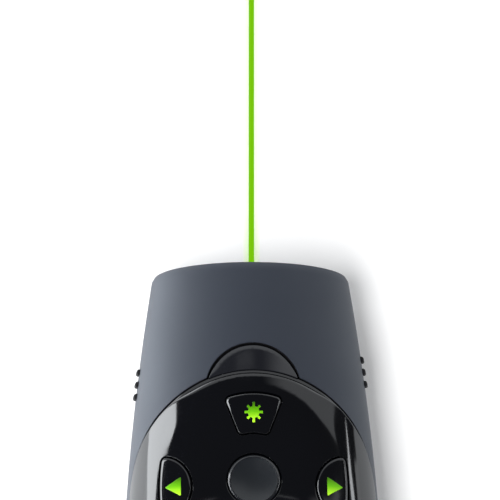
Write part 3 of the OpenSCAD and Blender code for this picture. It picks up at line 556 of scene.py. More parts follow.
def material(name, color, roughness, grain=2500.0, strength=0.15, drift=0.08, **sockets):
    """A finish with moulded grain, strength being that of its bump; sockets are the shader's other values."""
    mat = bpy.data.materials.new(name)
    mat.use_nodes = True
    tree = mat.node_tree
    shader = tree.nodes["Principled BSDF"]
    shader.inputs["Base Color"].default_value = color
    for label, value in sockets.items():
        shader.inputs[label.replace("_", " ")].default_value = value
    shader.inputs["Roughness"].default_value = roughness
    grainy = tree.nodes.new("ShaderNodeGroup")
    grainy.node_tree = GRAIN
    for label, value in (("Grain Size", grain), ("Roughness", roughness), ("Drift", drift)):
        grainy.inputs[label].default_value = value
    tree.links.new(grainy.outputs["Roughness"], shader.inputs["Roughness"])
    if strength:
        bump = tree.nodes.new("ShaderNodeBump")
        bump.inputs["Distance"].default_value = BUMP_DEPTH
        bump.inputs["Strength"].default_value = strength
        tree.links.new(grainy.outputs["Height"], bump.inputs["Height"])
        tree.links.new(bump.outputs["Normal"], shader.inputs["Normal"])
    return mat


def painted_light_for_marks(name, low_y, high_y):
    """Green with a painted glow, and painted shade that darkens it from the rear of a mark to its front."""
    mat = material(name, srgb(120, 200, 10), 0.35, strength=0.0, Emission_Strength=0.25)
    tree = mat.node_tree
    place, ramp = tree.nodes.new("ShaderNodeMapRange"), tree.nodes.new("ShaderNodeValToRGB")
    place.inputs["From Min"].default_value = low_y * MM
    place.inputs["From Max"].default_value = high_y * MM
    stops = ramp.color_ramp.elements
    stops[0].position, stops[0].color = 0.0, srgb(176, 236, 44)
    stops[1].position, stops[1].color = 1.0, srgb(42, 80, 4)
    stops.new(0.5).color = srgb(94, 170, 6)
    tree.links.new(places(tree)["Y"], place.inputs["Value"])
    tree.links.new(place.outputs[0], ramp.inputs[0])
    for label in ("Base Color", "Emission Color"):
        tree.links.new(ramp.outputs["Color"], tree.nodes["Principled BSDF"].inputs[label])
    return mat


MAT = {
    "soft_touch": material("soft_touch", srgb(35, 40, 51), 0.62, grain=3500, strength=0.25, IOR=2.03,
                           Specular_Tint=(0.88, 0.93, 1.0, 1.0)),
    "gloss_black": material("gloss_black", srgb(7, 8, 12), 0.07, strength=0.0, drift=0.02, IOR=1.75),
    "matt_key": material("matt_key", srgb(29, 32, 36), 0.36, strength=0.0, drift=0.3, IOR=1.7),
    "satin_ring": material("satin_ring", srgb(24, 26, 30), 0.24, strength=0.0, drift=0.06, IOR=1.9),
    "smoked_window": material("smoked_window", srgb(24, 25, 30), 0.1, strength=0.0, drift=0.02, IOR=1.75),
    "green_mark": material("green_mark", srgb(120, 200, 10), 0.35),
    "black_rubber": material("black_rubber", srgb(26, 26, 28), 0.7, grain=5000, strength=0.3),
    "black_plastic": material("black_plastic", srgb(26, 26, 28), 0.5, strength=0.3),
    "ivory_plastic": material("ivory_plastic", srgb(214, 206, 180), 0.5),
    "board_green": material("board_green", srgb(22, 92, 52), 0.35),
    "plated_steel": material("plated_steel", srgb(205, 205, 200), 0.22, Metallic=1.0),
    "screw_steel": material("screw_steel", srgb(120, 120, 124), 0.35, Metallic=1.0),
    "switch_steel": material("switch_steel", srgb(190, 190, 192), 0.35, Metallic=1.0),
    "ring_metal": material("ring_metal", srgb(90, 92, 98), 0.35, Metallic=1.0),
    "brass_barrel": material("brass_barrel", srgb(205, 165, 90), 0.3, Metallic=1.0),
    "lens_glass": material("lens_glass", srgb(225, 240, 235), 0.03, strength=0.0, drift=0.02,
                           Transmission_Weight=1.0),
    "cell_wrap": material("cell_wrap", srgb(70, 72, 78), 0.3, Metallic=0.3),
    "clear_plastic": material("clear_plastic", srgb(220, 225, 225), 0.1, strength=0.0,
                              Transmission_Weight=0.8),
    "led_body": material("led_body", srgb(190, 225, 180), 0.3),
}


# ---- casing -------------------------------------------------------------------------------------

GRID = 0.9
PAD_GRID = 0.7
POLE_V = face_v(TAIL_Y, 0.03)         # just short of the middle of the tail face, where the layouts end


def seam_points(r, start, end):
    """Points of the seam by their angle from the nose's way towards +X; it draws in along the flanks."""
    out = []
    count = max(2, math.ceil(abs(math.radians(end - start)) * r / 0.5))
    for i in range(count + 1):
        turn = start + (end - start) * i / count
        near = r - SEAM_DRAWN * smooth_step((abs(turn) - SEAM_DRAWN_FROM) / (SEAM_END - SEAM_DRAWN_FROM))
        out.append((near * math.sin(math.radians(turn)), SEAM_Y + near * math.cos(math.radians(turn))))
    return out


def window_meets_seam(window_r, seam_r):
    y = ((seam_r ** 2 - window_r ** 2) / (WINDOW_Y - SEAM_Y) + WINDOW_Y + SEAM_Y) / 2
    x = math.sqrt(window_r ** 2 - (y - WINDOW_Y) ** 2)
    return (math.degrees(math.atan2(x, y - SEAM_Y)), math.degrees(math.atan2(y - WINDOW_Y, x)))


def seam_foot(last, back):
    """The seam's last stretch on the layout, which curves out from the flank down to the parting line."""
    (u, v), way = last, math.copysign(1, last[0])
    bend = [(i / 12, 0.25 * i / 12 + 0.75 * (i / 12) ** 2) for i in range(1, 13)]
    return [(u + (way * SIDE_U - u) * out, v + (back - v) * t) for t, out in bend]


def seam_stretch(r, start, end):
    """A stretch of the seam on the layout; one that reaches the seam's end goes on to the parting line."""
    out = on_upper(seam_points(r, start, end))
    back = SEAM_FOOT_Y + (r - SEAM_R) * 1.4
    if abs(start) == SEAM_END:
        out = seam_foot(out[0], back)[::-1] + out
    if abs(end) == SEAM_END:
        out += seam_foot(out[-1], back)
    return out


def nose_notch(upper):
    """The edge of the nose opening on a layout, from the right parting line to the left."""
    drop = (SPLIT_Z - LASER_Z) * (1 if upper else -1)
    out = []
    for i in range(41):
        part = 1 - 2 * i / 40
        if upper:
            u = SIDE_U * part
            sx, sz = math.sin(u / ARC_R), math.cos(u / ARC_R)
            sx, sz = sx * (NOSE_HALF_W - NOSE_R), sz * (CROWN_NOSE_H - NOSE_R)
        else:
            u = LOW_U * part
            sx, _, z = drape_lower(u, NOSE_Y - NOSE_R + NOSE_R * math.pi / 2, 0.0)
            sz = SPLIT_Z - z
        # the share at which a line from the middle of the parting line meets the round hole's edge
        qa, qb, qc = sx * sx + sz * sz, 2 * drop * sz, drop * drop - NOSE_HOLE_R ** 2
        out.append((u, face_v(NOSE_Y, (-qb + math.sqrt(qb * qb - 4 * qa * qc)) / (2 * qa))))
    return out


def side_line(u, start, end):
    return dense([(u, start), (u, end)], 2.0, closed=False)[1:-1]


def rib_spots(node):
    low, high = box_mm(node)
    middle = (low.y + high.y) / 2
    return [(math.copysign(1, low.x + high.x), middle + i * RIB_PITCH) for i in (-1, 0, 1)]


def flank_u(height, y):
    """The upper layout's u at a height above the parting line."""
    return ARC_R * math.acos(height / crown(y))


def rib_outline(side, y, g):
    across = sorted((side * flank_u(RIB_HIGH + g, y), side * flank_u(RIB_LOW - g, y)))
    return rectangle(*across, y - RIB_HALF - g, y + RIB_HALF + g, 0.3)


def make_hood():
    r = SEAM_R + SEAM_GAP
    meet, window_angle = window_meets_seam(WINDOW_R + WINDOW_GAP, r)
    notch = nose_notch(True)
    window = on_upper(arc(0, WINDOW_Y, WINDOW_R + WINDOW_GAP, 180 - window_angle, window_angle))
    outer = seam_stretch(r, -SEAM_END, -meet)[:-1] + window + seam_stretch(r, meet, SEAM_END)[1:]
    outer += side_line(SIDE_U, outer[-1][1], notch[0][1]) + notch
    outer += side_line(-SIDE_U, notch[-1][1], outer[0][1])
    edges = [rim(outer, WALL, rounding(0.16))]
    for side, y in rib_spots("grip_left") + rib_spots("grip_right"):
        edges.append(rim(rib_outline(side, y, 0.0), WALL, rounding(0.12), hole=True))
    # the black plastic on the hood's rim walls is painted shade in the seam and the gaps round the ribs
    bm = draped(paint_gap_shade(flat_slab(edges, GRID)), drape_upper)
    add_inner_parts(bm, "front_hood", True)
    piece("hood", bm, "casing", "front_hood", "soft_touch").data.materials.append(MAT["black_plastic"])


def dock_outline():
    """The receiver's opening in the tail face, on the layout."""
    play = 0.15
    w, h = TAIL_HALF_W - TAIL_R, CROWN_TAIL_H - TAIL_R
    out = []
    for x, z in rectangle(dock_low.x - play, dock_high.x + play, dock_low.z - play, dock_high.z + play, 0.5):
        a, b = x / w, (z - SPLIT_Z) / h
        out.append((ARC_R * math.atan2(a, b), face_v(TAIL_Y, math.hypot(a, b))))
    return out


def chamfer(wide, drop):
    """A crowned chamfer as (inset, depth below the face), steep at its foot and easing into the face."""
    return [(wide * t, drop * (1 - t) ** 1.25) for t in (0.0, 0.12, 0.3, 0.5, 0.7, 0.85, 1.0)]


def crowned(wide, steep, gentle=0.0):
    """A rim that bends over its width from one slope to a gentler one, in degrees, as (inset, depth)."""
    first, last = math.radians(steep), math.radians(gentle)
    r = wide / (math.sin(first) - math.sin(last))
    count = 8
    turns = [first + (last - first) * i / count for i in range(count + 1)]
    return [(r * (math.sin(first) - math.sin(t)), r * (math.cos(last) - math.cos(t))) for t in turns]


def footed(foot, bend):
    """A steep foot below a crowned rim, and the face's edge inside it."""
    crown_rim = [(foot + inset, down) for inset, down in bend]
    return [(0.0, bend[0][1] + foot * 1.55)] + crown_rim + [(foot + bend[-1][0] + 0.08, 0.0)]


def lip_profile():
    """The cover's front edge: a low step level with the hood, a fine groove and a shoulder up to the face."""
    step = [(inset, COVER_PROUD + down) for inset, down in chamfer(0.58, 0.15)]
    groove = [(0.63, COVER_PROUD + 0.06), (0.68, COVER_PROUD + 0.03)]
    shoulder = [(0.68 + inset, down) for inset, down in chamfer(0.55, COVER_PROUD)]
    return step + groove + shoulder + [(1.45, 0.0)]


def make_cover():
    seam = seam_stretch(SEAM_R, SEAM_END, -SEAM_END)
    left, right = side_line(-SIDE_U, seam[-1][1], POLE_V), side_line(SIDE_U, POLE_V, seam[0][1])
    bottom = dense([(-SIDE_U, POLE_V), (SIDE_U, POLE_V)], 2.0, closed=False)
    lip = lip_profile()
    plain = rounding(0.2, arcs=len(lip) - 2)
    along = [smooth_step((15.5 - abs(u)) / 6.0) for u, _ in seam]
    profiles = [blended(plain, lip, share) for share in along]
    profiles += [plain] * (len(left) + len(bottom) + len(right))
    edges = [rim(seam + left + bottom + right, WALL, profiles, top=-COVER_PROUD),
             rim(dock_outline(), WALL, rounding(0.1), top=-COVER_PROUD, hole=True)]
    for outline in KEY_OUTLINES.values():
        hole = on_upper(grown(outline(), KEY_GAP))
        edges.append(rim(hole, WALL, rounding(0.09), top=-COVER_PROUD, hole=True))
    bm = draped(flat_slab(edges, PAD_GRID), drape_upper)
    add_inner_parts(bm, "top_cover", True)
    piece("cover", bm, "casing", "top_cover", "gloss_black")


def make_window():
    r = SEAM_R + WINDOW_LAP
    meet, window_angle = window_meets_seam(WINDOW_R, r)
    top = on_upper(arc(0, WINDOW_Y, WINDOW_R, window_angle, 180 - window_angle))
    front = seam_stretch(r, -meet, meet)[:-1]
    tight, broad = rounding(0.06), rounding(0.36, wide=0.95)
    ends = [min(i, len(top) - 1 - i) / WINDOW_TAPER for i in range(len(top) - 1)]
    profiles = [blended(tight, broad, smooth_step(share)) for share in ends] + [tight] * len(front)
    bm = draped(flat_slab([rim(top[:-1] + front, WALL, profiles, top=-0.02)], 0.6), drape_upper)
    piece("window", bm, "casing", "status_window", "smoked_window")


def screw_places():
    """Middles of the casing screws, from the frame's own screws."""
    spots = {}
    for v in nodes["case_screws"].data.vertices:
        spots.setdefault((v.co.x > 0, v.co.y > 0.02), []).append(v.co)
    middles = []
    for spot in spots.values():
        xs, ys = [co.x for co in spot], [co.y for co in spot]
        middles.append(((min(xs) + max(xs)) / 2 / MM, (min(ys) + max(ys)) / 2 / MM))
    return middles


def door_outline(play, drop, front):
    """The door on the lower layout, play wider each side, from where the tail has drawn in by drop."""
    half, tail = door_high.x - DOOR_RAIL + play, TAIL_Y + TAIL_R - TAIL_R * math.acos(1 - drop / TAIL_R)
    return on_lower(dense(rounded([(-half, tail), (half, tail), (half, front), (-half, front)], 0.3), 0.8))


def make_bottom():
    notch = nose_notch(False)
    outer = dense([(-LOW_U, POLE_V), (LOW_U, POLE_V)], 2.0, closed=False)
    outer += side_line(LOW_U, POLE_V, notch[0][1]) + notch + side_line(-LOW_U, notch[-1][1], POLE_V)
    slot = rectangle(-SLOT_HALF_W, SLOT_HALF_W, SLIDER_Y - SLOT_HALF_L, SLIDER_Y + SLOT_HALF_L, 0.4)
    holes = [door_outline(DOOR_GAP, DOOR_T + DOOR_GAP, door_high.y + DOOR_END_GAP), on_lower(slot)]
    holes += [on_lower(arc(x, y, SCREW_HOLE_R, 0, 360, 0.3)[:-1]) for x, y in screw_places()]
    edges = [rim(outer, FLOOR_T, rounding(0.2))]
    edges += [rim(hole, FLOOR_T, rounding(0.15), hole=True) for hole in holes]
    fine_u = [k * 0.3 - 0.15 for k in range(-15, 16)]
    fine_v = [SLIDER_Y + k * 0.3 for k in range(-23, 24)]
    bm = draped(flat_slab(edges, GRID, more_u=fine_u, more_v=fine_v), drape_lower)
    add_inner_parts(bm, "bottom_shell", False)
    piece("bottom", bm, "casing", "bottom_shell", "soft_touch")


def make_door():
    """The battery door, with cross grooves for the thumb."""
    grooves = [door_high.y + DOOR_GAP - GROOVE_BACK - GROOVE_PITCH * i for i in range(GROOVE_COUNT)]

    def drape_door(u, v, depth):
        x, y, z = drape_lower(u, v, 0.0)
        near = min(abs(y - groove) for groove in grooves) / GROOVE_HALF_W
        if near < 1:
            length = smooth_step((GROOVE_HALF_L - abs(x)) / 0.7)
            z += GROOVE_DEPTH * math.cos(near * math.pi / 2) ** 2 * length
        return x, y, z + (DOOR_T - z) * max(0.0, depth) / DOOR_T
    edge = rim(door_outline(0.0, DOOR_T, door_high.y), DOOR_T, rounding(0.18))
    ends = [side * (6.2 + k * 0.18) for side in (-1, 1) for k in range(-2, 5)]
    rows = [groove + k * 0.125 for groove in grooves for k in range(-4, 5)]
    bm = draped(flat_slab([edge], GRID, more_u=ends, more_v=rows), drape_door)
    piece("door", bm, "door", "battery_door", "soft_touch")


# ---- keys ---------------------------------------------------------------------------------------

SECTOR_R, SECTOR_IN_R, SECTOR_APEX, SECTOR_ANGLE = 15.8, 8.6, 1.75, 21.8
KEY_CORNER_R = 0.9
SIDE_KEY_R, SIDE_KEY_X, SIDE_KEY_BACK, SIDE_KEY_OUT = 6.0, 17.3, 1.2, 17.0
SIDE_KEY_BELLY = 40.0
CENTER_KEY_R = 4.75


def sector_outline(way):
    """The front key (way 1) or the rear key (way -1): part of a ring between two slanted sides."""
    slope = math.tan(math.radians(SECTOR_ANGLE))

    def side_hit(r):
        a, b, c = 1 + 1 / slope ** 2, 2 * SECTOR_APEX / slope, SECTOR_APEX ** 2 - r * r
        x = (-b + math.sqrt(b * b - 4 * a * c)) / (2 * a)
        return math.degrees(math.atan2(SECTOR_APEX + x / slope, x))
    out_angle, in_angle = side_hit(SECTOR_R), side_hit(SECTOR_IN_R)
    corners = []
    for run in (arc(0, 0, SECTOR_R, out_angle, 180 - out_angle, 1.0),
                arc(0, 0, SECTOR_IN_R, 180 - in_angle, in_angle, 1.0)):
        corners += [(*run[0], KEY_CORNER_R)] + [(*p, 0) for p in run[2:-2]] + [(*run[-1], KEY_CORNER_R)]
    return moved([(x, y * way) for x, y in dense(rounded(corners), 0.5)], 0, PAD_Y)


def side_outline(way):
    """The right key (way 1) or the left key (way -1): a lens against the casing's side."""
    bx = SIDE_KEY_OUT - SIDE_KEY_BELLY
    gap = SIDE_KEY_X - bx
    along = (gap * gap + SIDE_KEY_BELLY ** 2 - SIDE_KEY_R ** 2) / (2 * gap)
    y = math.sqrt(SIDE_KEY_BELLY ** 2 - along ** 2)
    x = bx + along
    inner_a = math.degrees(math.atan2(y, x - SIDE_KEY_X))
    inner = arc(SIDE_KEY_X, 0, SIDE_KEY_R, inner_a, 360 - inner_a, 0.5)
    outer_a = math.degrees(math.atan2(y, along))
    outer = arc(bx, 0, SIDE_KEY_BELLY, -outer_a, outer_a, 0.8)
    corners = [(*inner[0], KEY_CORNER_R)] + [(*p, 0) for p in inner[3:-3]] + [(*inner[-1], KEY_CORNER_R)]
    corners += [(*p, 0) for p in outer[2:-2]]
    return moved([(px * way, py) for px, py in dense(rounded(corners), 0.5)], 0, PAD_Y - SIDE_KEY_BACK)


KEY_OUTLINES = {
    "laser": lambda: sector_outline(1),
    "blank": lambda: sector_outline(-1),
    "forward": lambda: side_outline(1),
    "back": lambda: side_outline(-1),
    "center": lambda: arc(0, PAD_Y, CENTER_KEY_R, 0, 360)[:-1],
}
KEY_TOP = -COVER_PROUD - KEY_PROUD


def key_profiles(kind, outline):
    """The rim of a key, point by point: a side key is broadly crowned along the casing's side and crisper on
    its arc; the rims of the front and rear keys die away towards the middle."""
    if kind in ("forward", "back"):
        side, bow = footed(0.1, crowned(0.5, 16)), footed(0.2, crowned(0.3, 38, 8))
        return [blended(side, bow, smooth_step(16.3 - abs(x))) for x, _ in outline]
    shaped = chamfer(0.4, 0.36) + [(0.6, 0.0)]
    plain = rounding(0.12, arcs=len(shaped) - 2)
    fading = [smooth_step((abs(y - PAD_Y) - 11.8) / 1.8) for _, y in outline]
    return [blended(plain, shaped, share) for share in fading]


def stem_side(foot, top):
    """A key's stem from the middle of its foot, with a small break, up its side."""
    return [(0, foot), (STEM_R - STEM_BREAK, foot), (STEM_R, foot + STEM_BREAK), (STEM_R, top)]


def make_key(kind):
    outline = KEY_OUTLINES[kind]()
    edge = rim(on_upper(outline), WALL + FLANGE_PLAY + FLANGE_T, key_profiles(kind, outline), top=KEY_TOP,
               flange=FLANGE_W)
    bm = draped(flat_slab([edge], PAD_GRID), drape_upper)
    x, y = middle_of(kind + "_plunger")
    foot = box_mm(kind + "_plunger")[1].z
    stem_top = inner_top_z(x, y) - FLANGE_PLAY - FLANGE_T / 2
    join(bm, turned_form(stem_side(foot, stem_top) + [(0, stem_top)], (x, y, 0), 32))
    piece(kind + "_cap", bm, kind + "_button", kind + "_key", "gloss_black")


def sun_rays():
    """A disc with eight stubby rays, the two along the casing a little longer."""
    out = []
    for i in range(8):
        a, tip = math.radians(45 * i + 90), 1.86 if i % 4 == 0 else 1.66
        way, side = Vector((math.cos(a), math.sin(a))), Vector((-math.sin(a), math.cos(a)))
        ray = [(1.06, -0.2), (tip - 0.1, -0.25), (tip, -0.12), (tip, 0.12), (tip - 0.1, 0.25), (1.06, 0.2)]
        out += [tuple(way * along + side * across) for along, across in ray]
    return out


def arrow_head(way):
    return rounded([(-1.4 * way, -1.8), (1.5 * way, 0), (-1.4 * way, 1.8)], 0.12, 0.06)


MARKS = {
    "laser": sun_rays,
    "forward": lambda: arrow_head(1),
    "back": lambda: arrow_head(-1),
    "blank": lambda: rounded([(-1.3, -1.3), (1.3, -1.3), (1.3, 1.3), (-1.3, 1.3)], 0.25, 0.08),
}


def make_mark(kind):
    x, y = middle_of(kind + "_mark")
    points = turned_left(dense(moved(MARKS[kind](), x, y), 0.4))
    edge = rim(on_upper(points), 0.1, rounding(0.03), top=KEY_TOP - 0.03)
    bm = draped(flat_slab([edge], 0.4), drape_upper)
    # the mark's glow and its darkening towards the front are painted light
    mat = painted_light_for_marks(kind + "_green", y - 1.7, y + 1.9)
    piece(kind + "_inlay", bm, kind + "_button", kind + "_mark", "green_mark", mat)


RING_W, RING_STEEP, RING_GENTLE = 0.46, 53, 24
CUP_INSET, CUP_DEPTH, CUP_RISE, CUP_STEPS = 0.6, 0.9, 0.74, 14


def make_center_key():
    """The round key: a matt cup inside a satin ring, which stands on the stem's flange."""
    r, rim_z, floor_r = CENTER_KEY_R, cap_high.z, CENTER_KEY_R - CUP_INSET
    flange_z = inner_top_z(0, PAD_Y) - FLANGE_PLAY - 0.15
    profile = stem_side(cap_low.z, flange_z - FLANGE_T)
    profile += [(r + FLANGE_W, flange_z - FLANGE_T), (r + FLANGE_W, flange_z), (r, flange_z)]
    profile += [(r - inset, rim_z - down) for inset, down in crowned(RING_W, RING_STEEP, RING_GENTLE)]
    profile += [(r - 0.49, rim_z), (r - 0.55, rim_z - 0.03), (r - 0.58, rim_z - 0.1)]
    for i in range(CUP_STEPS + 1):
        t = 1 - i / CUP_STEPS
        profile.append((floor_r * t, rim_z - CUP_DEPTH + CUP_RISE * t ** 2))
    bm = turned_form(profile, (0, PAD_Y, 0), 144)
    for face in bm.faces:
        away = [math.hypot(v.co.x, v.co.y - PAD_Y * MM) for v in face.verts]
        on_ring = min(away) > (floor_r + 0.005) * MM and face.calc_center_median().z > (rim_z - 0.8) * MM
        face.material_index = 1 if on_ring else 0
    cap = piece("center_cap", bm, "center_button", "center_key", "matt_key")
    cap.data.materials.append(MAT["satin_ring"])


def make_grip(node):
    """Three ribs that stand out of the hood's flank, and the strip behind the wall that carries them."""
    low, high = box_mm(node)
    spots = rib_spots(node)
    side, middle_y = spots[1]
    bm = bmesh.new()
    for _, y in spots:
        rib = rim(rib_outline(side, y, -0.05), WALL + 0.4, rounding(0.4), top=-RIB_PROUD)
        join(bm, draped(flat_slab([rib], 0.5), drape_upper))

    def drape_behind(u, v, depth):
        return drape_upper(u, v, depth + WALL + 0.1)
    across = sorted((side * flank_u(STRIP_HIGH, middle_y), side * flank_u(STRIP_LOW, 0)))
    strip = rim(rectangle(*across, low.y, high.y, 0.3), 1.05, rounding(0.15))
    join(bm, draped(flat_slab([strip], 1.0), drape_behind))
    piece(node + "_rubber", bm, "casing", node, "black_rubber")


make_hood()
make_cover()
make_window()
make_bottom()
make_door()
for key_kind in ("laser", "blank", "forward", "back"):
    make_key(key_kind)
    make_mark(key_kind)
make_center_key()
make_grip("grip_left")
make_grip("grip_right")

SLOT_OF = {s["node"]: s["material_slot"] for s in frame["record"]["subparts"]}
BODY_OF = {n: b for b, names in frame["record"]["behaviour"]["bodies"].items() for n in names}
FINE_EDGES = {"aperture_ring": 0.12, "aperture_lens": 0.08, "power_slider": 0.12, "receiver_grip": 0.35,
              "receiver_plug": 0.08, "receiver_tongue": 0.1, "receiver_dock": 0.15, "case_screws": 0.1,
              "board_screws": 0.1, "battery_cells": 0.4, "cell_nubs": 0.15, "contact_plates": 0.06,
              "circuit_board": 0.08, "tact_switches": 0.08, "power_switch": 0.12, "laser_barrel": 0.12,
              "controller_chip": 0.1, "radio_module": 0.12, "crystal_can": 0.15, "laser_board": 0.08,
              "switch_lever": 0.1, "status_led": 0.15, "light_guide": 0.1}
for node_name, break_width in FINE_EDGES.items():
    piece(node_name + "_fine", bevelled(node_name, break_width), BODY_OF[node_name], node_name,
          SLOT_OF[node_name])
for node_name, obj in nodes.items():
    obj.data.materials.clear()
    obj.data.materials.append(MAT[SLOT_OF[node_name]])


# ---- camera, light and floor --------------------------------------------------------------------

CAMERA_SIDE, CAMERA_HEIGHT, CAMERA_ROLL = math.radians(5.318), math.radians(71.208), math.radians(5.105)
CAMERA_AIM, CAMERA_DISTANCE = Vector((-0.00026, 0.06043, 0.02)), 0.6
SENSOR_W, FOCAL_PIXELS, FRAME_PIXELS = 36.0, 3227.15, 500
WHITE, CARD_TINT = (1.0, 1.0, 1.0, 1.0), (0.94, 0.97, 1.0, 1.0)
FLOOR_WHITE, FLOOR_LIFT, WORLD_DIM = (0.82, 0.82, 0.82, 1.0), 0.246, 0.04
BEAM_WAY, BEAM_LENGTH, BEAM_R, HALO_R = Vector((0.0087, 1.0, 0.0)).normalized(), 0.2, 0.00052, 0.002
DRAPE_SIZE, DRAPE_MIDDLE, DRAPE_OPENING, DRAPE_DARK = (3.6, 3.4, 1.7), (0.0, 0.3, 0.84), 0.36, 0.04
FRONT_WALL_LIGHT = 0.68
FRONT_Y, SIDE_X, LYING_Z = 0.5, 0.5, 0.002    # where the wall, the side cards and the lying cards are


def add_camera():
    data = bpy.data.cameras.new("camera")
    cam = bpy.data.objects.new("camera", data)
    bpy.context.scene.collection.objects.link(cam)
    data.sensor_width = SENSOR_W
    data.lens = FOCAL_PIXELS / FRAME_PIXELS * SENSOR_W
    data.clip_end = 10.0
    way = Vector((-math.sin(CAMERA_SIDE) * math.cos(CAMERA_HEIGHT),
                  -math.cos(CAMERA_SIDE) * math.cos(CAMERA_HEIGHT), math.sin(CAMERA_HEIGHT)))
    turn = way.to_track_quat("Z", "Y") @ Matrix.Rotation(CAMERA_ROLL, 4, "Z").to_quaternion()
    cam.location = CAMERA_AIM + way * CAMERA_DISTANCE
    cam.rotation_euler = turn.to_euler()
    bpy.context.scene.camera = cam


def area_light(name, place, aim, size, power):
    data = bpy.data.lights.new(name, "AREA")
    data.shape = "RECTANGLE"
    data.size, data.size_y = size
    data.energy = power
    lamp = bpy.data.objects.new(name, data)
    lamp.location = place
    lamp.rotation_euler = (Vector(place) - Vector(aim)).to_track_quat("Z", "Y").to_euler()
    bpy.context.scene.collection.objects.link(lamp)
    return lamp


def stage_piece(name, bm, mat):
    obj = object_from(name, bm)
    obj.data.materials.append(mat)
    return obj


def flat_card(corners):
    bm = bmesh.new()
    bm.faces.new([bm.verts.new(corner) for corner in corners])
    return bm


def glow_material(name, color, strength=1.0):
    """A material that only gives light, with its tree and the node that gives it."""
    mat = bpy.data.materials.new(name)
    mat.use_nodes = True
    tree = mat.node_tree
    tree.nodes.clear()
    glow, out = tree.nodes.new("ShaderNodeEmission"), tree.nodes.new("ShaderNodeOutputMaterial")
    glow.inputs["Color"].default_value, glow.inputs["Strength"].default_value = color, strength
    tree.links.new(glow.outputs[0], out.inputs["Surface"])
    return mat, tree, glow


def fade(tree, place, dark, full, low=0.0, high=1.0):
    """A value that rises softly from low to high between the places dark and full."""
    node = tree.nodes.new("ShaderNodeMapRange")
    node.interpolation_type = "SMOOTHSTEP"
    for label, value in (("From Min", dark), ("From Max", full), ("To Min", low), ("To Max", high)):
        node.inputs[label].default_value = value
    tree.links.new(place, node.inputs["Value"])
    return node.outputs[0]


def background_rays(tree):
    """1 for the rays that show the background: the camera's, and those of gloss and of glass."""
    path = tree.nodes.new("ShaderNodeLightPath").outputs
    mirrored = maths(tree, "MAXIMUM", path["Is Glossy Ray"], path["Is Transmission Ray"])
    return maths(tree, "MAXIMUM", path["Is Camera Ray"], mirrored)


def add_floor():
    """A white floor that keeps the shadows; the camera, gloss and glass see it a little lighter."""
    bm = bmesh.new()
    bmesh.ops.create_grid(bm, x_segments=1, y_segments=1, size=3.0)
    mat = bpy.data.materials.new("floor_white")
    mat.use_nodes = True
    tree = mat.node_tree
    shader, out = tree.nodes["Principled BSDF"], tree.nodes["Material Output"]
    for label, value in (("Base Color", FLOOR_WHITE), ("Roughness", 0.9), ("Specular IOR Level", 0.1)):
        shader.inputs[label].default_value = value
    glow, both = tree.nodes.new("ShaderNodeEmission"), tree.nodes.new("ShaderNodeAddShader")
    tree.links.new(maths(tree, "MULTIPLY", background_rays(tree), FLOOR_LIFT), glow.inputs["Strength"])
    tree.links.new(shader.outputs[0], both.inputs[0])
    tree.links.new(glow.outputs[0], both.inputs[1])
    tree.links.new(both.outputs[0], out.inputs["Surface"])
    stage_piece("floor", bm, mat)


def light_rod(radius, segments):
    """A rod of light from inside the nose opening, in metres."""
    start = Vector((0.25, ring_high.y - 1.0, LASER_Z)) * MM
    turn = BEAM_WAY.to_track_quat("Z", "X").to_matrix().to_4x4()
    bm = bmesh.new()
    bmesh.ops.create_cone(bm, segments=segments, radius1=radius, radius2=radius, depth=BEAM_LENGTH,
                          matrix=Matrix.Translation(start + BEAM_WAY * (BEAM_LENGTH / 2)) @ turn)
    return bm


def add_beam():
    """The laser's light and a faint halo round it, seen by the camera alone."""
    beam = stage_piece("beam", light_rod(BEAM_R, 24), glow_material("beam_green", srgb(122, 197, 14))[0])
    halo = stage_piece("beam_halo", light_rod(HALO_R, 48), halo_material())
    for obj in (beam, halo):
        obj.visible_diffuse = obj.visible_glossy = obj.visible_shadow = obj.visible_transmission = False


def halo_material():
    """Faint green, which thins out towards the halo's edge."""
    mat, tree, glow = glow_material("halo_green", (0.57, 1.0, 0.0, 1.0))
    clear, mix, edge, side = (tree.nodes.new("ShaderNode" + kind)
                              for kind in ("BsdfTransparent", "MixShader", "LayerWeight", "NewGeometry"))
    middle = maths(tree, "SUBTRACT", 0.68, edge.outputs["Facing"])
    middle.node.use_clamp = True
    share = maths(tree, "MULTIPLY", maths(tree, "POWER", middle, 2.0), side.outputs["Backfacing"])
    tree.links.new(share, mix.inputs["Fac"])
    tree.links.new(clear.outputs[0], mix.inputs[1])
    tree.links.new(glow.outputs[0], mix.inputs[2])
    tree.links.new(mix.outputs[0], tree.nodes["Material Output"].inputs["Surface"])
    return mat


def emission_card(name, corners, radiance, *fades):
    """A lit card that the camera doesn't see. Each fade is an axis, the place where the card is dark and the
    place where it has its full light."""
    mat, tree, glow = glow_material(name + "_light", CARD_TINT, radiance)
    if fades:
        place = places(tree)
        shares = [fade(tree, place[axis], dark, full) for axis, dark, full in fades]
        share = shares[0]
        for other in shares[1:]:
            share = maths(tree, "MULTIPLY", share, other)
        light = maths(tree, "MULTIPLY_ADD", share, radiance - DRAPE_DARK, DRAPE_DARK)
        tree.links.new(light, glow.inputs["Strength"])
    card = stage_piece(name, flat_card(corners), mat)
    card.visible_camera = card.visible_shadow = False
    return card


def add_world():
    """White behind the object and in its gloss and glass, and dim as a light."""
    world = bpy.context.scene.world or bpy.data.worlds.new("world")
    bpy.context.scene.world = world
    world.use_nodes = True
    tree = world.node_tree
    back, level = tree.nodes["Background"], tree.nodes.new("ShaderNodeMapRange")
    back.inputs["Color"].default_value = WHITE
    level.inputs["To Min"].default_value = WORLD_DIM
    tree.links.new(background_rays(tree), level.inputs["Value"])
    tree.links.new(level.outputs[0], back.inputs["Strength"])


